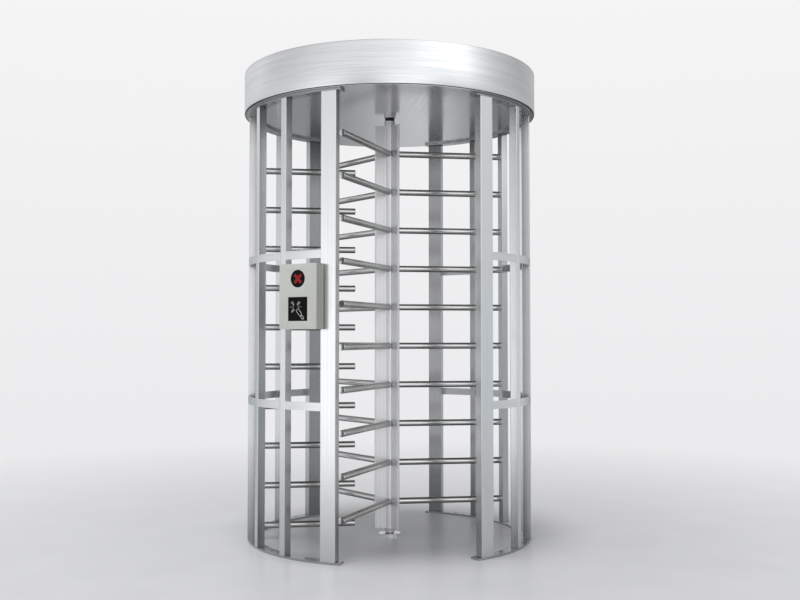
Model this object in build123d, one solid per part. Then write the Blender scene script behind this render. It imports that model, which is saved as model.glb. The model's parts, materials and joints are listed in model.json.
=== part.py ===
"""Full-height turnstile: a three-wing rotor in a cage of upright posts under a round canopy.

Millimetres. The origin is on the floor, on the rotor's axis, with +Z up. People walk through
along Y, on the +X side of the column; the fixed comb stands on the -X side. Angles are in
degrees, counted from +X towards +Y.
"""
import os
from math import asin, cos, degrees, pi, radians, sin, sqrt, tan

from build123d import *

# ---------------------------------------------------------------- driving dimensions
# Overall
TOTAL_HEIGHT = 2300.0          # floor to the top of the canopy lid
CANOPY_OVERHANG = 25.0         # canopy skin's outside, out from the posts' outer faces
CANOPY_DEPTH = 196.0           # height of the canopy skin and lid together
CAGE_RADIUS = 707.0            # outside face of every post

# Cage
POST_DEPTH = 38.0              # post section, radial
PASSAGE_POST_WIDTH = 74.0      # wide posts beside the two doorways
SIDE_POST_WIDTH = 35.0         # narrow posts and the comb post
POST_WALL = 3.0
POST_CORNER = 1.5
DOORWAY_ANGLE = 59.4           # passage post's centre line, from the X axis
PLATE_THICKNESS = 10.0         # floor plates and top plates
PLATE_WIDTH = 54.0             # radial
PLATE_OVERHANG = 20.0          # plates run on past the passage posts by this much
RAIL_HEIGHT = 37.0
RAIL_THICKNESS = 6.0
UPPER_RAIL_Z = 1364.0          # middle of the rail
LOWER_RAIL_Z = 686.0
ANCHOR_HOLE_RADIUS = 7.0       # for M12 floor anchors
ANCHOR_EDGE = 27.0             # holes and plate screws, in from the plates' outer edge
SCREW_SHANK = 4.0              # M8 screws from the top plates to the ceiling, radius
SCREW_HEAD = 7.5
SCREW_HEAD_HEIGHT = 4.8
SCREW_SUNK = 0.2               # head's face below the plate's face
SCREW_SOCKET = 3.4
NUT_RADIUS = 7.5
NUT_HEIGHT = 6.0
THREAD_BEYOND = 2.0            # thread standing out of its nut

# Bars: the rotor's arms and the fixed comb
BAR_RADIUS = 16.0
BAR_WALL = 2.0
BAR_LEVELS = 10
BAR_PITCH = 195.3
FIRST_ARM_Z = 168.5
FIRST_COMB_Z = 66.0
ARM_END_GAP = 89.0             # arm's free end, in from the posts' inner faces
COMB_REACH = 176.0             # comb bar's free end, from the axis
CAP_THICKNESS = 4.0
CAP_SPIGOT_LENGTH = 14.0

# Rotor column
BLADE_REACH = 76.0             # blade's edge, from the axis
BLADE_THICKNESS = 12.0
COLUMN_BOTTOM = 36.0
COLUMN_HEADROOM = 33.0         # column's top, below the ceiling
CORE_RADIUS = 19.0             # round core where the blades meet
COLUMN_BORE_RADIUS = 12.0
RIB_PITCH = 7.0                # fine grooves up the blade faces
RIB_GROOVE = 1.6
RIB_DEPTH = 0.8
WING_ANGLES = (0.0, 120.0, 240.0)

# Spindle and bearings
HUB_RADIUS = 27.0
HUB_HEIGHT = 24.0
SPINDLE_RADIUS = 17.5
SPIGOT_LENGTH = 120.0
SEAL_WALL = 6.0
TOP_BEARING_OUTER = 31.0
TOP_BEARING_HEIGHT = 14.0
BEARING_RING = 4.0             # radial thickness of each bearing ring
PIVOT_RADIUS = 15.0
PIVOT_COLLAR_RADIUS = 24.0
FLOOR_FLANGE_RADIUS = 56.0
FLOOR_FLANGE_HEIGHT = 12.0
FLOOR_HOLE_CIRCLE = 84.0
FLOOR_HOLE_RADIUS = 4.5
FLOOR_HOLES = 4
BUSH_WALL = 6.0
BUSH_PROUD = 2.0               # bush above the floor flange
PIVOT_END_GAP = 2.0            # pivot pin's end above the floor
HOUSING_SIZE = 130.0
HOUSING_WALL = 11.0
HOUSING_CORNER = 12.0

# Canopy
SKIN_WALL = 2.0
CEILING_THICKNESS = 3.0
CEILING_GAP = 8.0              # shadow gap between the ceiling panel and the skin
SKIN_FLANGE = 26.0
LID_THICKNESS = 2.0
BEAM_WIDTH = 60.0
BEAM_HEIGHT = 60.0
BEAM_WALL = 3.0
BEAM_SPACING = 340.0
CEILING_LIP = 8.0              # ceiling's rim, up to the skin's inner flange
LID_SCREWS = 8
LID_SCREW_EDGE = 14.0          # in from the lid's edge
LID_SCREW_RADIUS = 3.0
LID_SCREW_HEAD = 5.3
LID_SCREW_LENGTH = 10.0
LID_SCREW_SINK = 0.6           # lid left under each head
GLAND_X = -430.0
GLAND_BORE = 6.5
GLAND_THREAD = 10.0
GLAND_HEX = 14.0
GLAND_NUT = 8.0
GLAND_LENGTH = 26.0

# Lock and drive, inside the canopy
MECHANISM_LENGTH = 560.0
MECHANISM_WIDTH = 480.0
MECHANISM_THICKNESS = 8.0
LOCK_DISC_RADIUS = 85.0
LOCK_DISC_THICKNESS = 10.0
LOCK_NOTCHES = 12
NOTCH_WIDTH = 16.0
NOTCH_DEPTH = 14.0
PAWL_ANGLE = 150.0             # entry pawl's notch; the exit pawl mirrors it
PAWL_STANDOFF = 107.0          # pawl's middle line, from the axis
PAWL_ARM = 70.0                # pivot to tooth
PAWL_TAIL = 40.0               # pivot to plunger
PAWL_WIDTH = 16.0
PAWL_TRAVEL = 10.5             # degrees from released to locked
PAWL_TOOTH_WIDTH = 9.0
PAWL_TOOTH_GAP = 3.0           # released tooth to the disc
PAWL_TOOTH_SHIFT = 2.5         # tooth's middle beyond the notch's middle line
PAWL_BOSS_WALL = 6.0           # pawl's metal round its pin
PIN_RADIUS = 5.0
PIN_SHOULDER = 5.0
LINK_PIN_RADIUS = 3.0
LINK_SLOT_PLAY = 1.0           # across the tail's slot
LINK_SLOT_TRAVEL = 5.0         # along it
PLUNGER_RADIUS = 6.0
PLUNGER_LENGTH = 50.0
PLUNGER_SHOULDER = 22.0        # shoulder, from the link pin
EYE_WIDTH = 12.0
EYE_THICKNESS = 5.0
EYE_LIFT = 2.0                 # eye plate above the pawl
SOLENOID_LENGTH = 50.0
SOLENOID_SIZE = 38.0
SOLENOID_FOOT = 10.0           # foot beyond the body, each side
SPRING_ROOM = 12.0             # plunger's shoulder to the solenoid's face, released
SPRING_WIRE = 0.7              # wire radius
SPRING_TURNS = 4
GEAR_MODULE = 4.0
GEAR_TEETH = 60
PINION_TEETH = 20
GEAR_WIDTH = 18.0
GEAR_BACKLASH = 0.5            # taken off each half of a tooth
GEAR_LIFT = 12.0               # gears above the lock disc
GEAR_WINDOWS = 6               # round holes that lighten the large gear
PINION_SHAFT_RADIUS = 8.0
MOTOR_RADIUS = 45.0
MOTOR_HEIGHT = 42.0
MOTOR_FOOT = 8.0               # foot beyond the motor, each side
SHAFT_DEPTH = 12.0             # pinion's shaft inside the motor
BOARD_LENGTH = 180.0
BOARD_WIDTH = 100.0
BOARD_X = 140.0
BOARD_Y = -175.0
BOARD_THICKNESS = 1.6
PILLAR_HEIGHT = 10.0
PILLAR_RADIUS = 3.0
PILLAR_INSET = 8.0
SUPPLY_LENGTH = 200.0
SUPPLY_WIDTH = 90.0
SUPPLY_HEIGHT = 45.0
SUPPLY_X = 130.0
SUPPLY_Y = 180.0

# Access box
BOX_ANGLE = 229.6              # the way its face looks
BOX_WIDTH = 207.0
BOX_HEIGHT = 290.0
BOX_DEPTH = 51.0
BOX_BOTTOM_Z = 1029.0
BOX_WALL = 2.0
BOX_CORNER = 3.0
DISPLAY_RADIUS = 39.0
DISPLAY_Z = 1252.7             # centre of the round display
READER_SIZE = 106.0
READER_Z = 1118.4              # centre of the reader window
GLASS_EDGE = 4.0               # glasses run on behind the cover by this much
GLASS_EDGE_DEPTH = 1.5
BOX_STANDOFF = 1.0             # box's back, outside the cage radius
TRAY_WALL = 2.0
TRAY_EDGE = 14.0               # depth of the tray's folded edge
BOARD_SPACE = 16.0             # tray to the circuit boards
SMALL_BOARD = 90.0
SMALL_BOARD_HOLES = 38.0       # board pillars, from the board's middle lines
CROSS_BAR_HEIGHT = 30.0
CROSS_BAR_DEPTH = 28.0
CROSS_BAR_INSET = 45.0         # bar's middle line, from the box's top and bottom
CROSS_BAR_SCREW_X = 60.0
CROSS_BAR_SCREW_RADIUS = 3.0
COVER_SCREW_RADIUS = 2.0
COVER_SCREW_X = 70.0
COVER_SCREW_Y = 8.0
COVER_SCREW_LENGTH = 9.0

# Clearances
FACE_GAP = 0.3                 # between curved or painted faces that almost touch
SLIP_FIT = 0.05                # radial, for turned parts that slide together
BOLT_CLEARANCE = 0.5           # radial, screws in their holes

# ---------------------------------------------------------------- worked-out positions
POST_BOTTOM = PLATE_THICKNESS
CANOPY_BOTTOM = TOTAL_HEIGHT - CANOPY_DEPTH
CEILING_BOTTOM = CANOPY_BOTTOM - CEILING_THICKNESS
CEILING_TOP = CANOPY_BOTTOM
POST_TOP = CEILING_BOTTOM - PLATE_THICKNESS
POST_INNER = CAGE_RADIUS - POST_DEPTH
ARM_REACH = POST_INNER - ARM_END_GAP
CANOPY_RADIUS = CAGE_RADIUS + CANOPY_OVERHANG
COLUMN_TOP = CEILING_BOTTOM - COLUMN_HEADROOM
PLATE_INNER = CAGE_RADIUS - PLATE_WIDTH
SCREW_CIRCLE = CAGE_RADIUS - ANCHOR_EDGE
HUB_TOP = COLUMN_TOP + HUB_HEIGHT
SEAL_RADIUS = SPINDLE_RADIUS + SEAL_WALL
MECHANISM_BOTTOM = CEILING_TOP + BEAM_HEIGHT
MECHANISM_TOP = MECHANISM_BOTTOM + MECHANISM_THICKNESS
BEARING_BOTTOM = MECHANISM_TOP + 12.0
HOUSING_TOP = BEARING_BOTTOM + TOP_BEARING_HEIGHT
DISC_BOTTOM = HOUSING_TOP + 8.0
DISC_TOP = DISC_BOTTOM + LOCK_DISC_THICKNESS
PLUNGER_Z = DISC_BOTTOM + LOCK_DISC_THICKNESS / 2
GEAR_BOTTOM = DISC_TOP + GEAR_LIFT
GEAR_TOP = GEAR_BOTTOM + GEAR_WIDTH
SPINDLE_TOP = GEAR_TOP + 14.0
GEAR_RADIUS = GEAR_MODULE * GEAR_TEETH / 2
PINION_RADIUS = GEAR_MODULE * PINION_TEETH / 2
GEAR_CENTRES = GEAR_RADIUS + PINION_RADIUS
BOX_BACK = CAGE_RADIUS + BOX_STANDOFF


def half_angle(width, radius):
    """Half the angle that a straight width takes up at a radius."""
    return degrees(asin(width / 2 / radius))


def side_post_angles():
    """Angles of the two narrow posts between the X axis and a passage post, equally spaced."""
    narrow = half_angle(SIDE_POST_WIDTH, CAGE_RADIUS)
    wide = half_angle(PASSAGE_POST_WIDTH, CAGE_RADIUS)
    gap = (DOORWAY_ANGLE - 5 * narrow - wide) / 3
    first = 2 * narrow + gap
    return first, 2 * first


SIDE_1, SIDE_2 = side_post_angles()
SIDE_SPREAD = (-SIDE_2, -SIDE_1, 0.0, SIDE_1, SIDE_2)
POST_SPREAD = (-DOORWAY_ANGLE, *SIDE_SPREAD, DOORWAY_ANGLE)
SIDES = {"right": 0.0, "left": 180.0}


def gap_angles():
    """Middle of each gap between neighbouring posts, from the side's centre line."""
    return [(low + high) / 2 for low, high in zip(POST_SPREAD, POST_SPREAD[1:])]


def polar(radius, angle, z=0.0):
    """A point at a radius and an angle."""
    return (radius * cos(radians(angle)), radius * sin(radians(angle)), z)


def ring(outer, inner, bottom, height):
    """A plain round ring standing on `bottom`."""
    shape = Cylinder(outer, height) - Cylinder(inner, height)
    return Pos(0, 0, bottom + height / 2) * shape


def disc(radius, bottom, height, x=0.0, y=0.0):
    """A plain round disc standing on `bottom`."""
    return Pos(x, y, bottom + height / 2) * Cylinder(radius, height)


def block(length, width, height, x=0.0, y=0.0, bottom=0.0):
    """A box standing on `bottom`."""
    return Pos(x, y, bottom + height / 2) * Box(length, width, height)


def sector(outer, inner, bottom, height, middle, spread):
    """An arc of a ring, `spread` degrees to each side of its middle angle."""
    reach = outer * 2
    corners = [(0, 0)]
    steps = (-1.0, -0.5, 0.0, 0.5, 1.0)
    corners += [polar(reach, middle + step * spread)[:2] for step in steps]
    wedge = extrude(make_face(Polyline(*corners, close=True)), height)
    return ring(outer, inner, bottom, height) & Pos(0, 0, bottom) * wedge


def slip(hole_radius):
    """Radius of a shaft that slides in a hole."""
    return hole_radius - SLIP_FIT


def save(shape, node):
    """Write one sub-part's STEP file."""
    solids = shape if isinstance(shape, list) else [shape]
    parts = [solid for item in solids for solid in item.solids()]
    whole = parts[0] if len(parts) == 1 else Compound(children=parts)
    export_step(whole, f"parts/{node}.step")


# ---------------------------------------------------------------- cage
def post_envelope(angle, width, beyond=0.0):
    """A post's solid outside, at an angle; `beyond` carries it on outwards."""
    depth = POST_DEPTH + beyond
    bar = block(depth, width, POST_TOP - POST_BOTTOM, POST_INNER + depth / 2, 0, POST_BOTTOM)
    return Rot(0, 0, angle) * bar


def post(angle, width):
    """A rectangular tube with its outer face on the cage radius."""
    height = POST_TOP - POST_BOTTOM
    middle = CAGE_RADIUS - POST_DEPTH / 2
    bar = block(POST_DEPTH, width, height, middle, 0, POST_BOTTOM)
    bar = fillet(bar.edges().filter_by(Axis.Z), POST_CORNER)
    hollow = block(POST_DEPTH - 2 * POST_WALL, width - 2 * POST_WALL, height, middle, 0, POST_BOTTOM)
    return Rot(0, 0, angle) * (bar - hollow)


def arc_plate(side_angle, bottom, hole_radius):
    """A curved plate that carries one side's posts, drilled between them."""
    spread = DOORWAY_ANGLE + half_angle(PASSAGE_POST_WIDTH + 2 * PLATE_OVERHANG, CAGE_RADIUS)
    plate = sector(CAGE_RADIUS, PLATE_INNER, bottom, PLATE_THICKNESS, side_angle, spread)
    for angle in gap_angles():
        x, y, _ = polar(SCREW_CIRCLE, side_angle + angle)
        plate -= disc(hole_radius, bottom, PLATE_THICKNESS, x, y)
    return plate


def side_rails(side_angle, middle_z):
    """One curved flat bar in each gap between a side's posts, flush with their outside."""
    bottom = middle_z - RAIL_HEIGHT / 2
    rails = []
    for low, high in zip(POST_SPREAD, POST_SPREAD[1:]):
        middle = side_angle + (low + high) / 2
        inner = CAGE_RADIUS - RAIL_THICKNESS
        arc = sector(CAGE_RADIUS, inner, bottom, RAIL_HEIGHT, middle, (high - low) / 2)
        for end in (low, high):
            width = PASSAGE_POST_WIDTH if abs(end) == DOORWAY_ANGLE else SIDE_POST_WIDTH
            arc -= post_envelope(side_angle + end, width)
        rails.append(arc)
    return rails


def ceiling_screw(x, y):
    """A socket screw sunk in the top plate, through the ceiling panel, and its nut."""
    head_face = POST_TOP + SCREW_SUNK
    thread_top = CEILING_TOP + NUT_HEIGHT + THREAD_BEYOND
    screw = disc(SCREW_SHANK, head_face + 1.0, thread_top - head_face - 1.0, x, y)
    screw += disc(SCREW_HEAD, head_face, SCREW_HEAD_HEIGHT, x, y)
    socket = Pos(x, y, head_face) * extrude(RegularPolygon(SCREW_SOCKET, 6), SCREW_HEAD_HEIGHT / 2)
    hexagon = Pos(x, y, CEILING_TOP) * extrude(RegularPolygon(NUT_RADIUS, 6), NUT_HEIGHT)
    nut = hexagon - disc(SCREW_SHANK + SLIP_FIT, CEILING_TOP, NUT_HEIGHT, x, y)
    return [screw - socket, nut]


def top_plate(side_angle):
    """A top plate with sunk holes for the ceiling screws."""
    plate = arc_plate(side_angle, POST_TOP, SCREW_SHANK + BOLT_CLEARANCE)
    for angle in gap_angles():
        x, y, _ = polar(SCREW_CIRCLE, side_angle + angle)
        plate -= disc(SCREW_HEAD + BOLT_CLEARANCE, POST_TOP, SCREW_SUNK + SCREW_HEAD_HEIGHT, x, y)
    return plate


def make_cage():
    """Floor plates, posts, rails and top plates."""
    for side, side_angle in SIDES.items():
        save(arc_plate(side_angle, 0.0, ANCHOR_HOLE_RADIUS), f"floor_plate_{side}")
        save(top_plate(side_angle), f"top_plate_{side}")
        save(side_rails(side_angle, UPPER_RAIL_Z), f"side_rails_{side}_upper")
        save(side_rails(side_angle, LOWER_RAIL_Z), f"side_rails_{side}_lower")
    narrow = [a for a in SIDE_SPREAD if a != 0.0]
    save([post(180 + a, SIDE_POST_WIDTH) for a in narrow], "side_posts_left")
    save([post(a, SIDE_POST_WIDTH) for a in SIDE_SPREAD], "side_posts_right")
    save(post(180, SIDE_POST_WIDTH), "comb_post")
    corners = {
        "front_left": 180 + DOORWAY_ANGLE,
        "front_right": -DOORWAY_ANGLE,
        "rear_left": 180 - DOORWAY_ANGLE,
        "rear_right": DOORWAY_ANGLE,
    }
    for corner, angle in corners.items():
        save(post(angle, PASSAGE_POST_WIDTH), f"passage_post_{corner}")
    screws = []
    for side_angle in SIDES.values():
        for angle in gap_angles():
            x, y, _ = polar(SCREW_CIRCLE, side_angle + angle)
            screws += ceiling_screw(x, y)
    save(screws, "ceiling_screws")


# ---------------------------------------------------------------- bars
def bar_tube(start, end):
    """A round tube lying along +X."""
    length = end - start
    tube = Cylinder(BAR_RADIUS, length) - Cylinder(BAR_RADIUS - BAR_WALL, length)
    return Pos((start + end) / 2, 0, 0) * Rot(0, 90, 0) * tube


def bar_cap(face, outward):
    """An end cap with its spigot inside the tube; `outward` is +1 or -1 along X."""
    head = Cylinder(BAR_RADIUS, CAP_THICKNESS)
    head = chamfer(head.edges().sort_by(Axis.Z)[-1], 1.0)
    spigot = Cylinder(slip(BAR_RADIUS - BAR_WALL), CAP_SPIGOT_LENGTH)
    cap = Pos(0, 0, CAP_THICKNESS / 2) * head + Pos(0, 0, -CAP_SPIGOT_LENGTH / 2) * spigot
    return Pos(face, 0, 0) * Rot(0, 90 * outward, 0) * cap


def bar_heights(first):
    """Height of each level of bars."""
    return [first + BAR_PITCH * level for level in range(BAR_LEVELS)]


def make_comb():
    """The fixed comb: a bar at each level from the comb post towards the column."""
    bar = Rot(0, 0, 180) * bar_tube(COMB_REACH + CAP_THICKNESS, POST_INNER)
    cap = Rot(0, 0, 180) * bar_cap(COMB_REACH + CAP_THICKNESS, -1)
    heights = bar_heights(FIRST_COMB_Z)
    save([Pos(0, 0, z) * bar for z in heights], "comb_bars")
    save([Pos(0, 0, z) * cap for z in heights], "comb_bar_caps")


# ---------------------------------------------------------------- rotor
def column_section(grow=0.0):
    """The column's Y-shaped outline, grown by a clearance for what fits against it."""
    thickness = BLADE_THICKNESS + 2 * grow
    section = Circle(CORE_RADIUS + grow)
    for wing in WING_ANGLES:
        blade = Pos((BLADE_REACH - BLADE_THICKNESS / 2) / 2, 0) * Rectangle(
            BLADE_REACH - BLADE_THICKNESS / 2, thickness
        )
        tip = Pos(BLADE_REACH - BLADE_THICKNESS / 2, 0) * Circle(thickness / 2)
        section += Rot(0, 0, wing + 60) * (blade + tip)
    return section


def column():
    """The extrusion: three ribbed blades round a bored core."""
    section = column_section() - Circle(COLUMN_BORE_RADIUS)
    first_groove = CORE_RADIUS + RIB_PITCH
    count = int((BLADE_REACH - BLADE_THICKNESS - first_groove) / RIB_PITCH) + 1
    grooves = []
    for wing in WING_ANGLES:
        for face in (-1, 1):
            for step in range(count):
                x = first_groove + step * RIB_PITCH
                y = face * BLADE_THICKNESS / 2
                grooves.append(Rot(0, 0, wing + 60) * Pos(x, y) * Rectangle(RIB_GROOVE, 2 * RIB_DEPTH))
    section -= grooves
    return Pos(0, 0, COLUMN_BOTTOM) * extrude(section, COLUMN_TOP - COLUMN_BOTTOM)


def make_rotor_arms():
    """Three wings of arms: tubes cut to sit in the column's notches, and their caps."""
    notch = Pos(0, 0, -BAR_RADIUS * 2) * extrude(column_section(FACE_GAP), BAR_RADIUS * 4)
    tube = bar_tube(0, ARM_REACH - CAP_THICKNESS) - notch
    arm = tube.solids().sort_by(SortBy.VOLUME)[-1]
    cap = bar_cap(ARM_REACH - CAP_THICKNESS, 1)
    heights = bar_heights(FIRST_ARM_Z)
    caps = []
    for letter, angle in zip("abc", WING_ANGLES):
        save([Pos(0, 0, z) * Rot(0, 0, angle) * arm for z in heights], f"wing_{letter}_arms")
        caps += [Pos(0, 0, z) * Rot(0, 0, angle) * cap for z in heights]
    save(caps, "arm_caps")


def spindle():
    """Hub on the column's top, spigot in its bore, and the shaft up to the lock and drive."""
    shape = disc(slip(COLUMN_BORE_RADIUS), COLUMN_TOP - SPIGOT_LENGTH, SPIGOT_LENGTH)
    shape += disc(HUB_RADIUS, COLUMN_TOP, HUB_HEIGHT)
    shape += disc(SPINDLE_RADIUS, HUB_TOP, SPINDLE_TOP - HUB_TOP)
    return shape


def foot_pivot():
    """Spigot in the column's foot, a collar, and the pin that turns in the floor bush."""
    collar_bottom = FLOOR_FLANGE_HEIGHT + 2 * BUSH_PROUD
    shape = disc(slip(COLUMN_BORE_RADIUS), COLUMN_BOTTOM, SPIGOT_LENGTH)
    shape += disc(PIVOT_COLLAR_RADIUS, collar_bottom, COLUMN_BOTTOM - collar_bottom)
    shape += disc(slip(PIVOT_RADIUS), PIVOT_END_GAP, collar_bottom - PIVOT_END_GAP)
    return shape


def lock_disc():
    """A disc with a square notch at every step, clamped on the spindle."""
    shape = ring(LOCK_DISC_RADIUS, SPINDLE_RADIUS + SLIP_FIT, DISC_BOTTOM, LOCK_DISC_THICKNESS)
    middle = LOCK_DISC_RADIUS - NOTCH_DEPTH / 2
    notch = block(NOTCH_DEPTH + 2.0, NOTCH_WIDTH, LOCK_DISC_THICKNESS, middle + 1.0, 0, DISC_BOTTOM)
    for step in range(LOCK_NOTCHES):
        shape -= Rot(0, 0, 360 / LOCK_NOTCHES * step) * notch
    shape += ring(HUB_RADIUS, SPINDLE_RADIUS + SLIP_FIT, DISC_TOP, GEAR_BOTTOM - DISC_TOP - FACE_GAP)
    return shape


def gear(teeth, bore, bottom, phase):
    """A spur gear with straight-sided teeth and a little backlash; `phase` turns the first tooth."""
    pitch_radius = GEAR_MODULE * teeth / 2
    root = pitch_radius - 1.25 * GEAR_MODULE
    tip = pitch_radius + 0.9 * GEAR_MODULE
    half_tooth = GEAR_MODULE * pi / 4 - GEAR_BACKLASH
    flank = tan(radians(20))
    low = half_tooth + (pitch_radius - root) * flank
    high = half_tooth - (tip - pitch_radius) * flank
    inner = root - 1.0
    outline = [(inner, low), (root, low), (tip, high), (tip, -high), (root, -low), (inner, -low)]
    tooth = make_face(Polyline(*outline, close=True))
    section = Circle(root) + [Rot(0, 0, phase + 360 / teeth * step) * tooth for step in range(teeth)]
    if bore > 0:
        section -= Circle(bore)
    return Pos(0, 0, bottom) * extrude(section, GEAR_WIDTH)


def drive_gear():
    """The large gear on the spindle, lightened by six holes."""
    shape = gear(GEAR_TEETH, SPINDLE_RADIUS + SLIP_FIT, GEAR_BOTTOM, 0.0)
    for step in range(GEAR_WINDOWS):
        x, y, _ = polar(GEAR_RADIUS * 0.6, 360 / GEAR_WINDOWS * (step + 0.5))
        shape -= disc(GEAR_RADIUS * 0.18, GEAR_BOTTOM, GEAR_WIDTH, x, y)
    return shape


def drive_pinion():
    """The small gear cut on the gearmotor's shaft."""
    phase = 180 + 180 / PINION_TEETH
    shape = gear(PINION_TEETH, 0.0, GEAR_BOTTOM, phase)
    shaft_bottom = MECHANISM_TOP + MOTOR_HEIGHT - SHAFT_DEPTH + 2.0
    shape += disc(PINION_SHAFT_RADIUS, shaft_bottom, GEAR_TOP + 4.0 - shaft_bottom)
    return Pos(GEAR_CENTRES, 0, 0) * shape


def make_rotor():
    """Everything that turns with the column."""
    save(column(), "column")
    make_rotor_arms()
    save(spindle(), "spindle")
    save(foot_pivot(), "foot_pivot")
    race = SPINDLE_RADIUS + BEARING_RING
    inner_ring = ring(race, SPINDLE_RADIUS + SLIP_FIT, BEARING_BOTTOM, TOP_BEARING_HEIGHT)
    save(inner_ring, "top_bearing_inner_ring")
    save(lock_disc(), "lock_disc")
    save(drive_gear(), "drive_gear")
    save(drive_pinion(), "drive_pinion")


# ---------------------------------------------------------------- fixed bearings
def make_bearings():
    """Floor flange and bush, and the top bearing with its housing."""
    bush_outer = PIVOT_RADIUS + BUSH_WALL
    flange = ring(FLOOR_FLANGE_RADIUS, bush_outer + SLIP_FIT, 0.0, FLOOR_FLANGE_HEIGHT)
    flange = chamfer(flange.edges().group_by(Axis.Z)[-1].sort_by(SortBy.RADIUS)[-1], 2.0)
    for step in range(FLOOR_HOLES):
        x, y, _ = polar(FLOOR_HOLE_CIRCLE / 2, 360 / FLOOR_HOLES * (step + 0.5))
        flange -= disc(FLOOR_HOLE_RADIUS, 0.0, FLOOR_FLANGE_HEIGHT, x, y)
    save(flange, "floor_flange")
    save(ring(bush_outer, PIVOT_RADIUS, 0.0, FLOOR_FLANGE_HEIGHT + BUSH_PROUD), "floor_bush")

    race = TOP_BEARING_OUTER - BEARING_RING
    save(ring(TOP_BEARING_OUTER, race, BEARING_BOTTOM, TOP_BEARING_HEIGHT), "top_bearing_outer_ring")
    housing_outer = TOP_BEARING_OUTER + HOUSING_WALL
    housing = ring(housing_outer, TOP_BEARING_OUTER + SLIP_FIT, BEARING_BOTTOM, TOP_BEARING_HEIGHT)
    base_height = BEARING_BOTTOM - MECHANISM_TOP
    base = block(HOUSING_SIZE, HOUSING_SIZE, base_height, 0, 0, MECHANISM_TOP)
    base = fillet(base.edges().filter_by(Axis.Z), HOUSING_CORNER)
    base -= disc(race, MECHANISM_TOP, base_height)
    save(housing + base, "top_bearing_housing")
    seal_bottom = HUB_TOP + FACE_GAP
    seal = ring(SEAL_RADIUS, SPINDLE_RADIUS + FACE_GAP, seal_bottom, CEILING_TOP - seal_bottom)
    save(seal, "spindle_seal")


# ---------------------------------------------------------------- canopy
def lid_screw_points():
    """Where the lid's screws stand."""
    step = 360 / LID_SCREWS
    angles = [step * (count + 0.5) for count in range(LID_SCREWS)]
    return [polar(CANOPY_RADIUS - LID_SCREW_EDGE, angle)[:2] for angle in angles]


def ceiling_panel():
    """The flat ceiling with a low rim that carries the skin's inner flange."""
    outer = CANOPY_RADIUS - CEILING_GAP
    shape = disc(outer, CEILING_BOTTOM, CEILING_THICKNESS)
    shape += ring(outer, outer - CEILING_THICKNESS, CEILING_TOP, CEILING_LIP)
    shape -= disc(SEAL_RADIUS + FACE_GAP, CEILING_BOTTOM, CEILING_THICKNESS)
    for side_angle in SIDES.values():
        for angle in gap_angles():
            x, y, _ = polar(SCREW_CIRCLE, side_angle + angle)
            shape -= disc(SCREW_SHANK + BOLT_CLEARANCE, CEILING_BOTTOM, CEILING_THICKNESS, x, y)
    return shape


def canopy_skin():
    """The drum wall, with an inner flange on the ceiling's rim and another under the lid."""
    inner = CANOPY_RADIUS - SKIN_WALL
    lid_bottom = TOTAL_HEIGHT - LID_THICKNESS
    shape = ring(CANOPY_RADIUS, inner, CANOPY_BOTTOM, lid_bottom - CANOPY_BOTTOM)
    for bottom in (CEILING_TOP + CEILING_LIP, lid_bottom - SKIN_WALL):
        shape += ring(inner + SKIN_WALL / 2, CANOPY_RADIUS - SKIN_FLANGE, bottom, SKIN_WALL)
    for x, y in lid_screw_points():
        shape -= disc(LID_SCREW_RADIUS + BOLT_CLEARANCE, lid_bottom - SKIN_WALL, SKIN_WALL, x, y)
    return shape


def canopy_lid():
    """The flat cover, with holes for its screws and the supply gland."""
    bottom = TOTAL_HEIGHT - LID_THICKNESS
    shape = disc(CANOPY_RADIUS, bottom, LID_THICKNESS)
    for x, y in lid_screw_points():
        shape -= disc(LID_SCREW_RADIUS + BOLT_CLEARANCE, bottom, LID_THICKNESS, x, y)
        shape -= disc(LID_SCREW_HEAD + FACE_GAP, bottom + LID_SCREW_SINK, LID_THICKNESS, x, y)
    shape -= disc(GLAND_THREAD + SLIP_FIT, bottom, LID_THICKNESS, GLAND_X, 0)
    return shape


def lid_screws():
    """Low screws, sunk to the lid's face."""
    seat = TOTAL_HEIGHT - LID_THICKNESS + LID_SCREW_SINK
    head_height = TOTAL_HEIGHT - SCREW_SUNK - seat
    screws = []
    for x, y in lid_screw_points():
        shank = disc(LID_SCREW_RADIUS, seat - LID_SCREW_LENGTH, LID_SCREW_LENGTH + head_height / 2, x, y)
        screws.append(shank + disc(LID_SCREW_HEAD, seat, head_height, x, y))
    return screws


def supply_gland():
    """The cable entry under the lid: a hollow threaded body, and a nut flush inside."""
    bottom = TOTAL_HEIGHT - GLAND_LENGTH
    body = disc(GLAND_THREAD, bottom, GLAND_LENGTH, GLAND_X, 0)
    nut_bottom = TOTAL_HEIGHT - LID_THICKNESS - GLAND_NUT
    body += Pos(GLAND_X, 0, nut_bottom) * extrude(RegularPolygon(GLAND_HEX, 6), GLAND_NUT)
    return body - disc(GLAND_BORE, bottom, GLAND_LENGTH, GLAND_X, 0)


def canopy_beams():
    """Two box beams across the ceiling; their ends lie over the top plates."""
    beams = []
    for side in (-1, 1):
        y = side * BEAM_SPACING / 2
        corner = abs(y) + BEAM_WIDTH / 2
        reach = sqrt((SCREW_CIRCLE - NUT_RADIUS) ** 2 - corner ** 2)
        beam = Box(2 * reach, BEAM_WIDTH, BEAM_HEIGHT)
        beam -= Box(2 * reach, BEAM_WIDTH - 2 * BEAM_WALL, BEAM_HEIGHT - 2 * BEAM_WALL)
        beams.append(Pos(0, y, CEILING_TOP + BEAM_HEIGHT / 2) * beam)
    return beams


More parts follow.
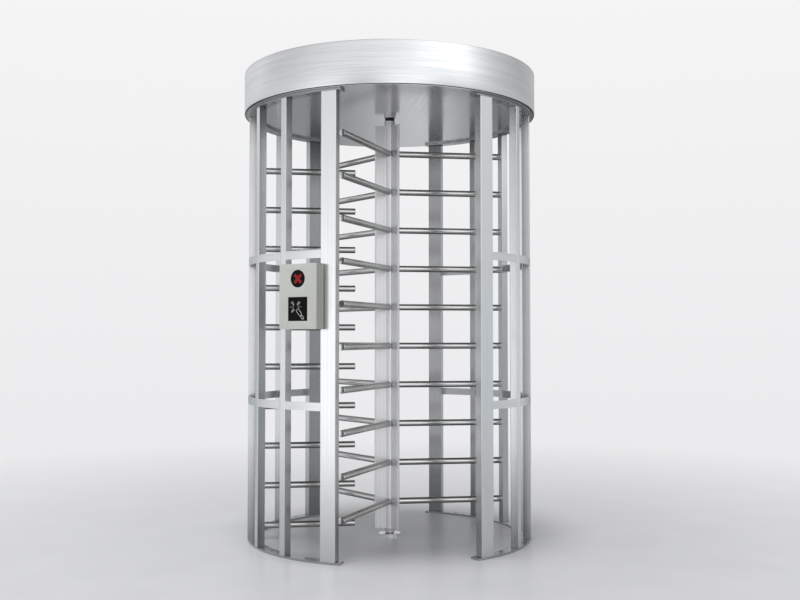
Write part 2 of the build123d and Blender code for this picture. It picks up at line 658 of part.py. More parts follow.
def make_canopy():
    """Ceiling, skin, lid and what carries the mechanism."""
    save(ceiling_panel(), "ceiling_panel")
    save(canopy_skin(), "canopy_skin")
    save(canopy_lid(), "canopy_lid")
    save(lid_screws(), "lid_screws")
    save(supply_gland(), "supply_gland")
    save(canopy_beams(), "canopy_beams")
    plate = block(MECHANISM_LENGTH, MECHANISM_WIDTH, MECHANISM_THICKNESS, 0, 0, MECHANISM_BOTTOM)
    save(plate - disc(SPINDLE_RADIUS + 10.0, MECHANISM_BOTTOM, MECHANISM_THICKNESS), "mechanism_plate")


# ---------------------------------------------------------------- lock and drive
def mirrored(shape, direction):
    """The shape itself for the entry side, its mirror image for the exit side."""
    return shape if direction > 0 else mirror(shape, Plane.XZ)


def in_pawl_frame(shape):
    """From a pawl's own frame (X away from the axis, Y from tooth to tail, pivot at 0) to the part's."""
    return Rot(0, 0, PAWL_ANGLE) * Pos(PAWL_STANDOFF, -PAWL_ARM, 0) * shape


def pawl():
    """A lever with a tooth at one end and a slotted tail at the other."""
    thick = LOCK_DISC_THICKNESS
    tooth_y = PAWL_ARM + PAWL_TOOTH_SHIFT
    nose = tooth_y + PAWL_TOOTH_WIDTH / 2
    shape = block(PAWL_WIDTH, nose + PAWL_TAIL, thick, 0, (nose - PAWL_TAIL) / 2, DISC_BOTTOM)
    shape += disc(PAWL_WIDTH / 2, DISC_BOTTOM, thick, 0, -PAWL_TAIL)
    shape += disc(PIN_RADIUS + PAWL_BOSS_WALL, DISC_BOTTOM, thick)
    reach = PAWL_STANDOFF - LOCK_DISC_RADIUS - PAWL_TOOTH_GAP
    shape += block(reach, PAWL_TOOTH_WIDTH, thick, -reach / 2, tooth_y, DISC_BOTTOM)
    shape -= disc(PIN_RADIUS + SLIP_FIT, DISC_BOTTOM, thick)
    slot_width = 2 * LINK_PIN_RADIUS + LINK_SLOT_PLAY
    slot_length = 2 * LINK_PIN_RADIUS + LINK_SLOT_TRAVEL
    return shape - block(slot_width, slot_length, thick, 0, -PAWL_TAIL, DISC_BOTTOM)


def pawl_pin():
    """The pin that the pawl turns on, with a shoulder under it."""
    shape = disc(PIN_RADIUS, MECHANISM_TOP, DISC_TOP + EYE_LIFT - MECHANISM_TOP)
    shoulder_top = DISC_BOTTOM - FACE_GAP
    return shape + disc(PIN_RADIUS + PIN_SHOULDER, MECHANISM_TOP, shoulder_top - MECHANISM_TOP)


def plunger():
    """A round plunger with an eye plate over the pawl's tail and a link pin down its slot."""
    face = PLUNGER_SHOULDER
    rod = Rot(0, 90, 0) * Cylinder(PLUNGER_RADIUS, PLUNGER_LENGTH)
    rod = Pos(face - EYE_THICKNESS + PLUNGER_LENGTH / 2, -PAWL_TAIL, PLUNGER_Z) * rod
    eye_bottom = DISC_TOP + EYE_LIFT
    eye_length = face + EYE_WIDTH / 2
    eye_x = (face - EYE_WIDTH / 2) / 2
    eye = block(eye_length, EYE_WIDTH, EYE_THICKNESS, eye_x, -PAWL_TAIL, eye_bottom)
    web_height = eye_bottom + EYE_THICKNESS - PLUNGER_Z
    web = block(EYE_THICKNESS, EYE_WIDTH, web_height, face - EYE_THICKNESS / 2, -PAWL_TAIL, PLUNGER_Z)
    link = disc(LINK_PIN_RADIUS, DISC_BOTTOM, eye_bottom + 1.0 - DISC_BOTTOM, 0, -PAWL_TAIL)
    return rod + web + eye + link


def return_spring():
    """The coil spring round the plunger that pushes it out of its solenoid."""
    end_gap = SPRING_WIRE + FACE_GAP
    room = SPRING_ROOM - 2 * end_gap
    path = Helix(room / SPRING_TURNS, room, PLUNGER_RADIUS + SPRING_WIRE + 2 * BOLT_CLEARANCE)
    section = Plane(origin=path @ 0, z_dir=path % 0) * Circle(SPRING_WIRE)
    wire = sweep(section, path=path, is_frenet=True)
    return Pos(PLUNGER_SHOULDER + end_gap, -PAWL_TAIL, PLUNGER_Z) * Rot(0, 90, 0) * wire


def solenoid():
    """A square solenoid body with a bore for its plunger, on a foot."""
    middle = PLUNGER_SHOULDER + SPRING_ROOM + SOLENOID_LENGTH / 2
    centre = Pos(middle, -PAWL_TAIL, PLUNGER_Z)
    body = centre * Box(SOLENOID_LENGTH, SOLENOID_SIZE, SOLENOID_SIZE)
    foot_width = SOLENOID_SIZE + 2 * SOLENOID_FOOT
    foot_height = PLUNGER_Z - SOLENOID_SIZE / 2 - MECHANISM_TOP
    foot = block(SOLENOID_LENGTH, foot_width, foot_height, middle, -PAWL_TAIL, MECHANISM_TOP)
    bore = centre * Rot(0, 90, 0) * Cylinder(PLUNGER_RADIUS + SLIP_FIT, SOLENOID_LENGTH)
    return body + foot - bore


def make_lock():
    """The two pawls with their pins, plungers and solenoids."""
    pins = []
    solenoids = []
    for name, direction in (("entry", 1), ("exit", -1)):
        save(mirrored(in_pawl_frame(pawl()), direction), f"{name}_pawl")
        save(mirrored(in_pawl_frame(plunger()), direction), f"{name}_plunger")
        save(mirrored(in_pawl_frame(return_spring()), direction), f"{name}_spring")
        pins.append(mirrored(in_pawl_frame(pawl_pin()), direction))
        solenoids.append(mirrored(in_pawl_frame(solenoid()), direction))
    save(pins, "pawl_pins")
    save(solenoids, "lock_solenoids")


def gearmotor():
    """A flat gearmotor bolted on the mechanism plate, with its shaft up."""
    foot = 2 * (MOTOR_RADIUS + MOTOR_FOOT)
    shape = disc(MOTOR_RADIUS, MECHANISM_TOP, MOTOR_HEIGHT * 0.9, GEAR_CENTRES, 0)
    shape += disc(MOTOR_RADIUS * 0.6, MECHANISM_TOP, MOTOR_HEIGHT, GEAR_CENTRES, 0)
    shape += block(foot, foot, PLATE_THICKNESS / 2, GEAR_CENTRES, 0, MECHANISM_TOP)
    bore_bottom = MECHANISM_TOP + MOTOR_HEIGHT - SHAFT_DEPTH
    return shape - disc(PINION_SHAFT_RADIUS + SLIP_FIT, bore_bottom, SHAFT_DEPTH, GEAR_CENTRES, 0)


def control_board():
    """The lock's circuit board on four pillars, with its terminal strip and relays."""
    bottom = MECHANISM_TOP + PILLAR_HEIGHT
    shape = block(BOARD_LENGTH, BOARD_WIDTH, BOARD_THICKNESS, 0, 0, bottom)
    for side_x in (-1, 1):
        for side_y in (-1, 1):
            x = side_x * (BOARD_LENGTH / 2 - PILLAR_INSET)
            y = side_y * (BOARD_WIDTH / 2 - PILLAR_INSET)
            shape += disc(PILLAR_RADIUS, MECHANISM_TOP, PILLAR_HEIGHT + BOARD_THICKNESS / 2, x, y)
    shape += block(BOARD_LENGTH - 50.0, 10.0, 12.0, 0, 9.0 - BOARD_WIDTH / 2, bottom + 1.0)
    for step in (-1, 0, 1):
        shape += block(28.0, 16.0, 14.0, 34.0 * step, 20.0, bottom + 1.0)
    return Pos(BOARD_X, BOARD_Y, 0) * shape


def make_drive():
    """Gearmotor, board and power supply on the mechanism plate."""
    save(gearmotor(), "gearmotor")
    save(control_board(), "control_board")
    supply = block(SUPPLY_LENGTH, SUPPLY_WIDTH, SUPPLY_HEIGHT, SUPPLY_X, SUPPLY_Y, MECHANISM_TOP)
    save(fillet(supply.edges().filter_by(Axis.Z), BOX_CORNER), "power_supply")


# ---------------------------------------------------------------- access box
def in_box_frame(shape):
    """From the box's frame (X across, Y outwards from the back, Z up from its bottom) to the part's."""
    return Rot(0, 0, BOX_ANGLE - 90) * Pos(0, BOX_BACK, BOX_BOTTOM_Z) * shape


def box_block(width, depth, height, back=0.0, bottom=0.0):
    """A block centred across the box, standing on `bottom` and reaching out from `back`."""
    return Pos(0, back + depth / 2, bottom + height / 2) * Box(width, depth, height)


def facing(shape, back, z):
    """A flat shape made in XY, stood up to face outwards at a height in the box."""
    return Pos(0, back, z) * Rot(-90, 0, 0) * shape


def access_box_cover():
    """The front shell, open at the back, with a round and a square opening."""
    shape = box_block(BOX_WIDTH, BOX_DEPTH, BOX_HEIGHT)
    shape = fillet(shape.edges().filter_by(Axis.Z).sort_by(Axis.Y)[-2:], BOX_CORNER)
    inner_height = BOX_HEIGHT - 2 * BOX_WALL
    inside = box_block(BOX_WIDTH - 2 * BOX_WALL, BOX_DEPTH - BOX_WALL, inner_height, 0, BOX_WALL)
    shape -= inside
    shape -= facing(Cylinder(DISPLAY_RADIUS + FACE_GAP, 3 * BOX_WALL), BOX_DEPTH, DISPLAY_Z - BOX_BOTTOM_Z)
    opening = READER_SIZE + 2 * FACE_GAP
    shape -= facing(Box(opening, opening, 3 * BOX_WALL), BOX_DEPTH, READER_Z - BOX_BOTTOM_Z)
    for side in (-1, 1):
        hole = Cylinder(COVER_SCREW_RADIUS + SCREW_SUNK, BOX_HEIGHT)
        shape -= Pos(side * COVER_SCREW_X, COVER_SCREW_Y, BOX_HEIGHT / 2) * hole
    return shape


def access_box_tray():
    """The back plate with a folded edge that the cover slides over, and its board pillars."""
    width = BOX_WIDTH - 2 * BOX_WALL - 2 * FACE_GAP
    height = BOX_HEIGHT - 2 * BOX_WALL - 2 * FACE_GAP
    bottom = BOX_WALL + FACE_GAP
    shape = box_block(width, TRAY_EDGE, height, 0, bottom)
    inside_width = width - 2 * TRAY_WALL
    shape -= box_block(inside_width, TRAY_EDGE, height - 2 * TRAY_WALL, TRAY_WALL, bottom + TRAY_WALL)
    pillar = Cylinder(PILLAR_RADIUS, BOARD_SPACE)
    for centre in (DISPLAY_Z, READER_Z):
        for side_z in (-1, 1):
            z = centre - BOX_BOTTOM_Z + side_z * SMALL_BOARD_HOLES
            row = facing(pillar, TRAY_WALL + BOARD_SPACE / 2, z)
            shape += [Pos(side_x * SMALL_BOARD_HOLES, 0, 0) * row for side_x in (-1, 1)]
    for side in (-1, 1):
        hole = Cylinder(COVER_SCREW_RADIUS, BOX_HEIGHT)
        shape -= Pos(side * COVER_SCREW_X, COVER_SCREW_Y, BOX_HEIGHT / 2) * hole
        for z in cross_bar_heights():
            hole = Cylinder(CROSS_BAR_SCREW_RADIUS + SCREW_SUNK, 3 * TRAY_WALL)
            shape -= Pos(side * CROSS_BAR_SCREW_X, 0, 0) * facing(hole, TRAY_WALL / 2, z)
    return shape


def cross_bar_heights():
    """Middles of the two cross bars, up from the box's bottom."""
    return (CROSS_BAR_INSET, BOX_HEIGHT - CROSS_BAR_INSET)


def cross_bars():
    """Two solid bars between the posts behind the box, which carry it."""
    bars = []
    for z in cross_bar_heights():
        bottom = z - CROSS_BAR_HEIGHT / 2
        bar = box_block(1.5 * BOX_WIDTH, CROSS_BAR_DEPTH, CROSS_BAR_HEIGHT, -CROSS_BAR_DEPTH, bottom)
        for side in (-1, 1):
            hole = facing(Cylinder(CROSS_BAR_SCREW_RADIUS, 24.0), 0, z)
            bar -= Pos(side * CROSS_BAR_SCREW_X, 0, 0) * hole
        bar = in_box_frame(bar)
        bar -= post_envelope(180 + DOORWAY_ANGLE, PASSAGE_POST_WIDTH, BOX_DEPTH)
        bar -= post_envelope(180 + SIDE_2, SIDE_POST_WIDTH, BOX_DEPTH)
        bars.append(bar.solids().sort_by(SortBy.VOLUME)[-1])
    return bars


def box_screws():
    """Four screws from the tray into the cross bars, and four through the cover's top and bottom."""
    screws = []
    for z in cross_bar_heights():
        for side in (-1, 1):
            shank = facing(Cylinder(CROSS_BAR_SCREW_RADIUS - SLIP_FIT, 14.0), -3.0, z)
            head = facing(Cylinder(5.0, 3.0), TRAY_WALL + 1.5, z)
            screws.append(in_box_frame(Pos(side * CROSS_BAR_SCREW_X, 0, 0) * (shank + head)))
    shank = Pos(0, 0, COVER_SCREW_LENGTH / 2) * Cylinder(COVER_SCREW_RADIUS - SLIP_FIT, COVER_SCREW_LENGTH)
    lower = shank + Pos(0, 0, -1.0) * Cylinder(3.8, 2.0)
    upper = Pos(0, 0, BOX_HEIGHT) * Rot(180, 0, 0) * lower
    for side in (-1, 1):
        for screw in (lower, upper):
            screws.append(in_box_frame(Pos(side * COVER_SCREW_X, COVER_SCREW_Y, 0) * screw))
    return screws


def make_access_box():
    """Cover, tray, windows, boards, cross bars and screws."""
    save(in_box_frame(access_box_cover()), "access_box_cover")
    save(in_box_frame(access_box_tray()), "access_box_tray")
    display_z = DISPLAY_Z - BOX_BOTTOM_Z
    reader_z = READER_Z - BOX_BOTTOM_Z
    glass_back = BOX_DEPTH - BOX_WALL
    glass_middle = glass_back + BOX_WALL / 2
    edge_middle = glass_back - GLASS_EDGE_DEPTH / 2
    lens = facing(Cylinder(DISPLAY_RADIUS, BOX_WALL), glass_middle, display_z)
    lens += facing(Cylinder(DISPLAY_RADIUS + GLASS_EDGE, GLASS_EDGE_DEPTH), edge_middle, display_z)
    save(in_box_frame(lens), "display_lens")
    edge_size = READER_SIZE + 2 * GLASS_EDGE
    window = facing(Box(READER_SIZE, READER_SIZE, BOX_WALL), glass_middle, reader_z)
    window += facing(Box(edge_size, edge_size, GLASS_EDGE_DEPTH), edge_middle, reader_z)
    save(in_box_frame(window), "reader_window")
    board = Box(SMALL_BOARD, SMALL_BOARD, BOARD_THICKNESS)
    board_back = TRAY_WALL + BOARD_SPACE
    board_middle = board_back + BOARD_THICKNESS / 2
    front = glass_back - GLASS_EDGE_DEPTH - FACE_GAP
    depth = front - board_back - BOARD_THICKNESS
    lamps = facing(Cylinder(DISPLAY_RADIUS - 9.0, depth), front - depth / 2, display_z)
    coil_size = SMALL_BOARD - 6.0
    coil = Box(coil_size, coil_size, depth) - Box(coil_size - 14.0, coil_size - 14.0, depth)
    display_board = facing(board, board_middle, display_z) + lamps
    reader_board = facing(board, board_middle, reader_z) + facing(coil, front - depth / 2, reader_z)
    save([in_box_frame(display_board), in_box_frame(reader_board)], "access_box_boards")
    save(cross_bars(), "access_box_cross_bars")
    save(box_screws(), "access_box_screws")


def main():
    """Build every sub-part."""
    os.makedirs("parts", exist_ok=True)
    make_cage()
    make_comb()
    make_rotor()
    make_bearings()
    make_canopy()
    make_lock()
    make_drive()
    make_access_box()


main()
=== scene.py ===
"""Looks for the full-height turnstile: brushed steel, a ribbed column, a powder-coated access box."""
import json
from math import cos, pi, radians, sin

import bmesh
import bpy
from mathutils import Matrix, Vector


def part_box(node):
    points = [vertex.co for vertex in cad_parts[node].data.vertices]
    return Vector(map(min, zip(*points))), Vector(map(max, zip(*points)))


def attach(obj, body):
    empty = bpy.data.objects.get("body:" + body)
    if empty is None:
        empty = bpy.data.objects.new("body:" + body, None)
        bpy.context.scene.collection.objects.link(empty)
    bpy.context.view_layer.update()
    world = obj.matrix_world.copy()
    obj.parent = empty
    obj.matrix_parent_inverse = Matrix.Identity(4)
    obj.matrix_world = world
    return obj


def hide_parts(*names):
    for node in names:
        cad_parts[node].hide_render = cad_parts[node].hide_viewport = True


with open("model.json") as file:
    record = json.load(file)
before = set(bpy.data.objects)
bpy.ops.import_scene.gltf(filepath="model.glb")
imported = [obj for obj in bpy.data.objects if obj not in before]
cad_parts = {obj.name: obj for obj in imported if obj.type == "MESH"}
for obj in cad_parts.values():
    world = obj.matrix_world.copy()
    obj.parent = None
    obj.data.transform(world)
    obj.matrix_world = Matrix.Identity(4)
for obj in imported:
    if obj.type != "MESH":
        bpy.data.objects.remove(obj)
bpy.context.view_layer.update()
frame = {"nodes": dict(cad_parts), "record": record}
nodes = frame["nodes"]

# ---------------------------------------------------------------- sizes in metres, counts, bearings
BAR_RADIUS = 0.016
BAR_SIDES = 40
BAR_LENGTHS = 12
BAR_END_ROUND = 0.003
BAR_LEVELS = 10
ROTOR_WINGS = 3
ARM_ROOT = 0.0195
WELD_RADIUS = 0.0026
WELD_RISE = 0.55
BRUSHING_BATCH = 500.0
BRUSHING_SHIFT = 0.37
BLADE_BEARINGS = (60, 180, 300)
GROOVE_FIRST = 0.026
GROOVE_PITCH = 0.007
GROOVE_WIDTH = 0.0016
CANOPY_SEGMENTS = 256
SKIN_ROLL = 0.0025
SKIN_INSET = 0.0045
SKIN_LIP = 0.026
SKIN_SHEET = 0.002
SKIN_LIP_RISE = 0.008
COVER_EDGE = 0.0012
GLASS_PROUD = 0.0002
LED_PITCH = 0.0027
LED_RADIUS = 0.00115
LED_SIDES = 8
CROSS_ARM = 0.0235
CROSS_HALF_WIDTH = 0.0105
CROSS_TIP = 1.62
STROKE_WIDTH = 0.001
BOX_FACING = radians(229.6)
SIGN_CENTRE = Vector((-0.011, 0.009))
WAVE_DISTANCES = (0.015, 0.022, 0.029)
WAVE_HALF = 0.0055
DASH_DISTANCES = (-0.030, -0.021, -0.012, 0.012, 0.021, 0.030)
DASH_HALF = 0.002
FOB_BEARING = -52
FOB_START = 0.014
FOB_OUTLINE = ((0.0, -0.0075), (0.0, 0.0075), (0.027, 0.0075), (0.035, 0.0035), (0.035, -0.0035),
               (0.027, -0.0075))
RING_MIDDLE = 0.045
RING_LENGTH = 0.0095
RING_WIDTH = 0.0055
RING_SIDES = 12
FLOOR_REACH = 30.0
CEILING_HEIGHT = 2.09


# ---------------------------------------------------------------- node helpers
def add(tree, kind, inputs=None, **properties):
    """A new node, with its properties set and its inputs linked or given values."""
    node = tree.nodes.new(kind)
    for name, value in properties.items():
        setattr(node, name, value)
    for name, value in (inputs or {}).items():
        if isinstance(value, bpy.types.NodeSocket):
            tree.links.new(value, node.inputs[name])
        else:
            node.inputs[name].default_value = value
    return node


def maths(tree, operation, first, second=0.0, clamp=False):
    """The result of one sum on two numbers or sockets."""
    node = add(tree, "ShaderNodeMath", {0: first, 1: second}, operation=operation, use_clamp=clamp)
    return node.outputs[0]


def spread(tree, value, low, high, to_low, to_high):
    """A value's range moved to another range, held at both ends."""
    inputs = {"Value": value, "From Min": low, "From Max": high, "To Min": to_low, "To Max": to_high}
    return add(tree, "ShaderNodeMapRange", inputs, clamp=True).outputs["Result"]


def mixed(tree, factor, first, second):
    """Two colours mixed by a factor."""
    sockets = {0: factor, 6: first, 7: second}
    return add(tree, "ShaderNodeMix", sockets, data_type="RGBA").outputs[2]


def shade(colour, strength):
    """A colour made lighter or darker, with its alpha added."""
    return (*[min(1, channel * strength) for channel in colour], 1)


def worn(tree, mask, amount, tone, colour):
    """A tone taken part of the way to a colour where a mask is."""
    return mixed(tree, maths(tree, "MULTIPLY", mask, amount), tone, colour)


def new_group(name, inputs, outputs, kind="ShaderNodeTree"):
    """An empty node group with named sockets; gives the tree and its two end nodes."""
    tree = bpy.data.node_groups.new(name, kind)
    for label, socket, default in inputs:
        made = tree.interface.new_socket(name=label, in_out="INPUT", socket_type=socket)
        if default is not None:
            made.default_value = default
    for label, socket in outputs:
        tree.interface.new_socket(name=label, in_out="OUTPUT", socket_type=socket)
    return tree, tree.nodes.new("NodeGroupInput").outputs, tree.nodes.new("NodeGroupOutput")


FLOAT = "NodeSocketFloat"
VECTOR = "NodeSocketVector"
GEOMETRY = "NodeSocketGeometry"


# ---------------------------------------------------------------- shared effects
def brushing_group():
    """Fine streaks drawn out along one direction, with a slow drift of tone over them."""
    inputs = (("Place", VECTOR, None), ("Stretch", VECTOR, (900, 900, 6)), ("Drift Size", FLOAT, 0.6))
    outputs = (("Streaks", FLOAT), ("Scratches", FLOAT), ("Drift", FLOAT))
    tree, given, end = new_group("brushing", inputs, outputs)
    factors = {0: given["Place"], 1: given["Stretch"]}
    stretched = add(tree, "ShaderNodeVectorMath", factors, operation="MULTIPLY").outputs[0]
    fine = {"Vector": stretched, "Scale": 1.0, "Detail": 3.0, "Roughness": 0.65}
    streaks = add(tree, "ShaderNodeTexNoise", fine).outputs["Fac"]
    wide = add(tree, "ShaderNodeVectorMath", {0: stretched, "Scale": 0.12}, operation="SCALE")
    coarse = {"Vector": wide.outputs[0], "Scale": 1.0, "Detail": 2.0}
    bands = add(tree, "ShaderNodeTexNoise", coarse).outputs["Fac"]
    narrow, broad = maths(tree, "MULTIPLY", streaks, 0.7), maths(tree, "MULTIPLY", bands, 0.3)
    both = maths(tree, "ADD", narrow, broad)
    tree.links.new(streaks, end.inputs["Scratches"])
    tree.links.new(spread(tree, both, 0.3, 0.7, 0.0, 1.0), end.inputs["Streaks"])
    size = maths(tree, "DIVIDE", 1.0, given["Drift Size"])
    slow = {"Vector": given["Place"], "Scale": size, "Detail": 3.0}
    drift = add(tree, "ShaderNodeTexNoise", slow)
    tree.links.new(spread(tree, drift.outputs["Fac"], 0.3, 0.7, 0.0, 1.0), end.inputs["Drift"])
    return tree


def edge_group():
    """How near a point is to a sharp edge, broken up so that wear is uneven."""
    inputs = (("Place", VECTOR, None), ("Radius", FLOAT, 0.0015), ("Unevenness", FLOAT, 0.5))
    tree, given, end = new_group("edge wear", inputs, (("Edge", FLOAT),))
    rounded = add(tree, "ShaderNodeBevel", {"Radius": given["Radius"]}, samples=4).outputs["Normal"]
    flat = add(tree, "ShaderNodeNewGeometry").outputs["Normal"]
    match = add(tree, "ShaderNodeVectorMath", {0: rounded, 1: flat}, operation="DOT_PRODUCT")
    edge = spread(tree, match.outputs["Value"], 1.0, 0.82, 0.0, 1.0)
    uneven = {"Vector": given["Place"], "Scale": 60.0, "Detail": 4.0}
    patches = add(tree, "ShaderNodeTexNoise", uneven)
    gaps = maths(tree, "MULTIPLY", patches.outputs["Fac"], given["Unevenness"])
    tree.links.new(maths(tree, "SUBTRACT", edge, gaps, clamp=True), end.inputs["Edge"])
    return tree


def handling_group():
    """Smudges where hands reach, from knee height to shoulder height, and scuffs at the foot."""
    inputs = (("Place", VECTOR, None), ("Amount", FLOAT, 1.0))
    tree, given, end = new_group("handling", inputs, (("Smudge", FLOAT), ("Scuff", FLOAT)))
    height = add(tree, "ShaderNodeSeparateXYZ", {0: given["Place"]}).outputs["Z"]
    low = spread(tree, height, 0.5, 0.9, 0.0, 1.0)
    high = spread(tree, height, 1.5, 1.9, 1.0, 0.0)
    smears = {"Vector": given["Place"], "Scale": 14.0, "Detail": 5.0}
    patches = add(tree, "ShaderNodeTexNoise", smears)
    marks = spread(tree, patches.outputs["Fac"], 0.52, 0.72, 0.0, 1.0)
    reach = maths(tree, "MULTIPLY", maths(tree, "MULTIPLY", low, high), marks)
    tree.links.new(maths(tree, "MULTIPLY", reach, given["Amount"]), end.inputs["Smudge"])
    scratched = {"Vector": given["Place"], "Scale": 90.0, "Detail": 6.0}
    fine = add(tree, "ShaderNodeTexNoise", scratched)
    foot = spread(tree, height, 0.0, 0.16, 1.0, 0.0)
    specks = spread(tree, fine.outputs["Fac"], 0.45, 0.7, 0.0, 1.0)
    scuffs = maths(tree, "MULTIPLY", foot, specks)
    tree.links.new(maths(tree, "MULTIPLY", scuffs, given["Amount"]), end.inputs["Scuff"])
    return tree


def painted_shade_group():
    """Masks for painted shade: how far a face is turned from the outside, and how near it is to the
    floor or the ceiling.
    """
    inputs = (("Place", VECTOR, None), ("Low", FLOAT, 0.5), ("High", FLOAT, 1.93))
    outputs = (("Inward", FLOAT), ("Foot", FLOAT), ("Head", FLOAT))
    tree, given, end = new_group("painted shade masks", inputs, outputs)
    flat = add(tree, "ShaderNodeVectorMath", {0: given["Place"], 1: (1, 1, 0)}, operation="MULTIPLY")
    outward = add(tree, "ShaderNodeVectorMath", {0: flat.outputs[0]}, operation="NORMALIZE").outputs[0]
    true = add(tree, "ShaderNodeNewGeometry").outputs["True Normal"]
    facing = add(tree, "ShaderNodeVectorMath", {0: outward, 1: true}, operation="DOT_PRODUCT")
    # painted shade: faces turned inward are the ones darkened
    inward = spread(tree, facing.outputs["Value"], 0.7, -0.6, 0.0, 1.0)
    tree.links.new(inward, end.inputs["Inward"])
    height = add(tree, "ShaderNodeSeparateXYZ", {0: given["Place"]}).outputs["Z"]
    # painted shade: darker towards the floor, and towards the ceiling on inward faces
    foot = spread(tree, height, given["Low"], 0.02, 0.0, 1.0)
    foot = maths(tree, "MULTIPLY", foot, spread(tree, inward, 0.0, 0.5, 0.55, 1.0))
    tree.links.new(foot, end.inputs["Foot"])
    head = spread(tree, height, given["High"], CEILING_HEIGHT, 0.0, 1.0)
    tree.links.new(maths(tree, "MULTIPLY", head, inward), end.inputs["Head"])
    return tree


def groove_group():
    """The shade in the grooves up the column's three blades."""
    inputs = (("Place", VECTOR, None), ("First", FLOAT, GROOVE_FIRST), ("Pitch", FLOAT, GROOVE_PITCH),
              ("Width", FLOAT, GROOVE_WIDTH))
    tree, given, end = new_group("blade grooves", inputs, (("Groove", FLOAT),))
    reach = None
    for bearing in BLADE_BEARINGS:
        along = (cos(radians(bearing)), sin(radians(bearing)), 0)
        blade = {0: given["Place"], 1: along}
        out = add(tree, "ShaderNodeVectorMath", blade, operation="DOT_PRODUCT").outputs["Value"]
        reach = out if reach is None else maths(tree, "MAXIMUM", reach, out)
    steps = maths(tree, "DIVIDE", maths(tree, "SUBTRACT", reach, given["First"]), given["Pitch"])
    off_middle = maths(tree, "ABSOLUTE", maths(tree, "SUBTRACT", steps, maths(tree, "ROUND", steps)))
    half = maths(tree, "DIVIDE", maths(tree, "MULTIPLY", given["Width"], 0.5), given["Pitch"])
    faded = maths(tree, "MULTIPLY", half, 2.2)
    tree.links.new(spread(tree, off_middle, half, faded, 1.0, 0.0), end.inputs["Groove"])
    return tree


def upturned_group():
    """A mask for painted dark reflection: one on the top and underside of a lying bar, none along the
    middle of its sides.
    """
    inputs = (("Start", FLOAT, 0.25), ("Full", FLOAT, 0.75))
    tree, given, end = new_group("bar top and underside", inputs, (("Mask", FLOAT),))
    true = add(tree, "ShaderNodeNewGeometry").outputs["Normal"]
    upright = add(tree, "ShaderNodeSeparateXYZ", {0: true}).outputs["Z"]
    mask = spread(tree, maths(tree, "ABSOLUTE", upright), given["Start"], given["Full"], 0.0, 1.0)
    tree.links.new(mask, end.inputs["Mask"])
    return tree


BRUSHING = brushing_group()
PAINTED_SHADE = painted_shade_group()
UPTURNED = upturned_group()
GROOVES = groove_group()
EDGE = edge_group()
HANDLING = handling_group()


def use(tree, group, inputs):
    """A group placed in a material with its own values."""
    return add(tree, "ShaderNodeGroup", inputs, node_tree=group).outputs


def new_material(name):
    """A material with its Principled shader; gives the material, the tree and the shader."""
    material = bpy.data.materials.new(name)
    material.use_nodes = True
    tree = material.node_tree
    return material, tree, tree.nodes["Principled BSDF"]


def bumped(tree, height, strength, distance):
    """A surface normal raised by a height."""
    inputs = {"Height": height, "Strength": strength, "Distance": distance}
    return add(tree, "ShaderNodeBump", inputs).outputs["Normal"]


def mottled(tree, place, scale, detail):
    """An even, cloudy noise."""
    inputs = {"Vector": place, "Scale": scale, "Detail": detail}
    return add(tree, "ShaderNodeTexNoise", inputs).outputs["Fac"]


def place_of(tree, attribute=None):
    """Where a point is: on the object, or in a piece's own coordinates."""
    if attribute:
        return add(tree, "ShaderNodeAttribute", attribute_name=attribute).outputs["Vector"]
    return add(tree, "ShaderNodeTexCoord").outputs["Object"]


# ---------------------------------------------------------------- finishes
def brushed_steel(name, light, dark, stretch, roughness, attribute=None, relief=0.25, drift=0.6,
                  painted_inside_shade=0.0, metallic=1.0, painted_bar_shade=0.0, corner=0.0, foot=0.5, grooves=0.0,
                  head_from=1.93):
    """Satin metal with drawn-out brushing, brighter worn edges and a few smudges, and painted shade
    where asked: inward faces, near floor and ceiling, grooves, bar tops and undersides.
    """
    material, tree, shader = new_material(name)
    place = place_of(tree, attribute)
    whole = place_of(tree)
    grain = use(tree, BRUSHING, {"Place": place, "Stretch": stretch, "Drift Size": drift})
    edge = use(tree, EDGE, {"Place": whole, "Radius": 0.0018, "Unevenness": 0.6})["Edge"]
    marks = use(tree, HANDLING, {"Place": whole, "Amount": 0.7})
    tone = mixed(tree, grain["Streaks"], shade(dark, 1), shade(light, 1))
    tone = worn(tree, grain["Drift"], 0.25, tone, shade(light, 0.86))
    tone = worn(tree, edge, 0.5, tone, shade(light, 1.25))
    tone = worn(tree, marks["Scuff"], 0.12, tone, shade(dark, 0.6))
    # painted shade: inward faces darker, darker still under the ceiling and near the floor
    if painted_inside_shade:
        kept = use(tree, PAINTED_SHADE, {"Place": whole, "High": head_from})
        tone = worn(tree, kept["Inward"], painted_inside_shade, tone, shade(dark, 0.3))
        tone = worn(tree, kept["Head"], 0.7, tone, shade(dark, 0.12))
        tone = worn(tree, kept["Foot"], foot, tone, shade(dark, 0.2))
    if grooves:
        groove = use(tree, GROOVES, {"Place": whole})["Groove"]
        tone = worn(tree, groove, grooves, tone, shade(dark, 0.3))
    # painted reflection: a lying bar's top and underside darkened as if mirroring dark surroundings
    if painted_bar_shade:
        lines = use(tree, UPTURNED, {"Start": 0.25, "Full": 0.8})["Mask"]
        tone = worn(tree, lines, painted_bar_shade, tone, shade(dark, 0.2))
    tree.links.new(tone, shader.inputs["Base Color"])
    rough = spread(tree, grain["Streaks"], 0.0, 1.0, roughness + 0.04, roughness - 0.04)
    rough = maths(tree, "ADD", rough, maths(tree, "MULTIPLY", marks["Smudge"], 0.04))
    rough = maths(tree, "ADD", rough, maths(tree, "MULTIPLY", marks["Scuff"], 0.05), clamp=True)
    tree.links.new(rough, shader.inputs["Roughness"])
    surface = bumped(tree, grain["Scratches"], relief, 0.00006)
    if corner:
        rounded = add(tree, "ShaderNodeBevel", {"Radius": corner}, samples=6).outputs["Normal"]
        tree.links.new(rounded, surface.node.inputs["Normal"])
    tree.links.new(surface, shader.inputs["Normal"])
    shader.inputs["Metallic"].default_value = metallic
    return material


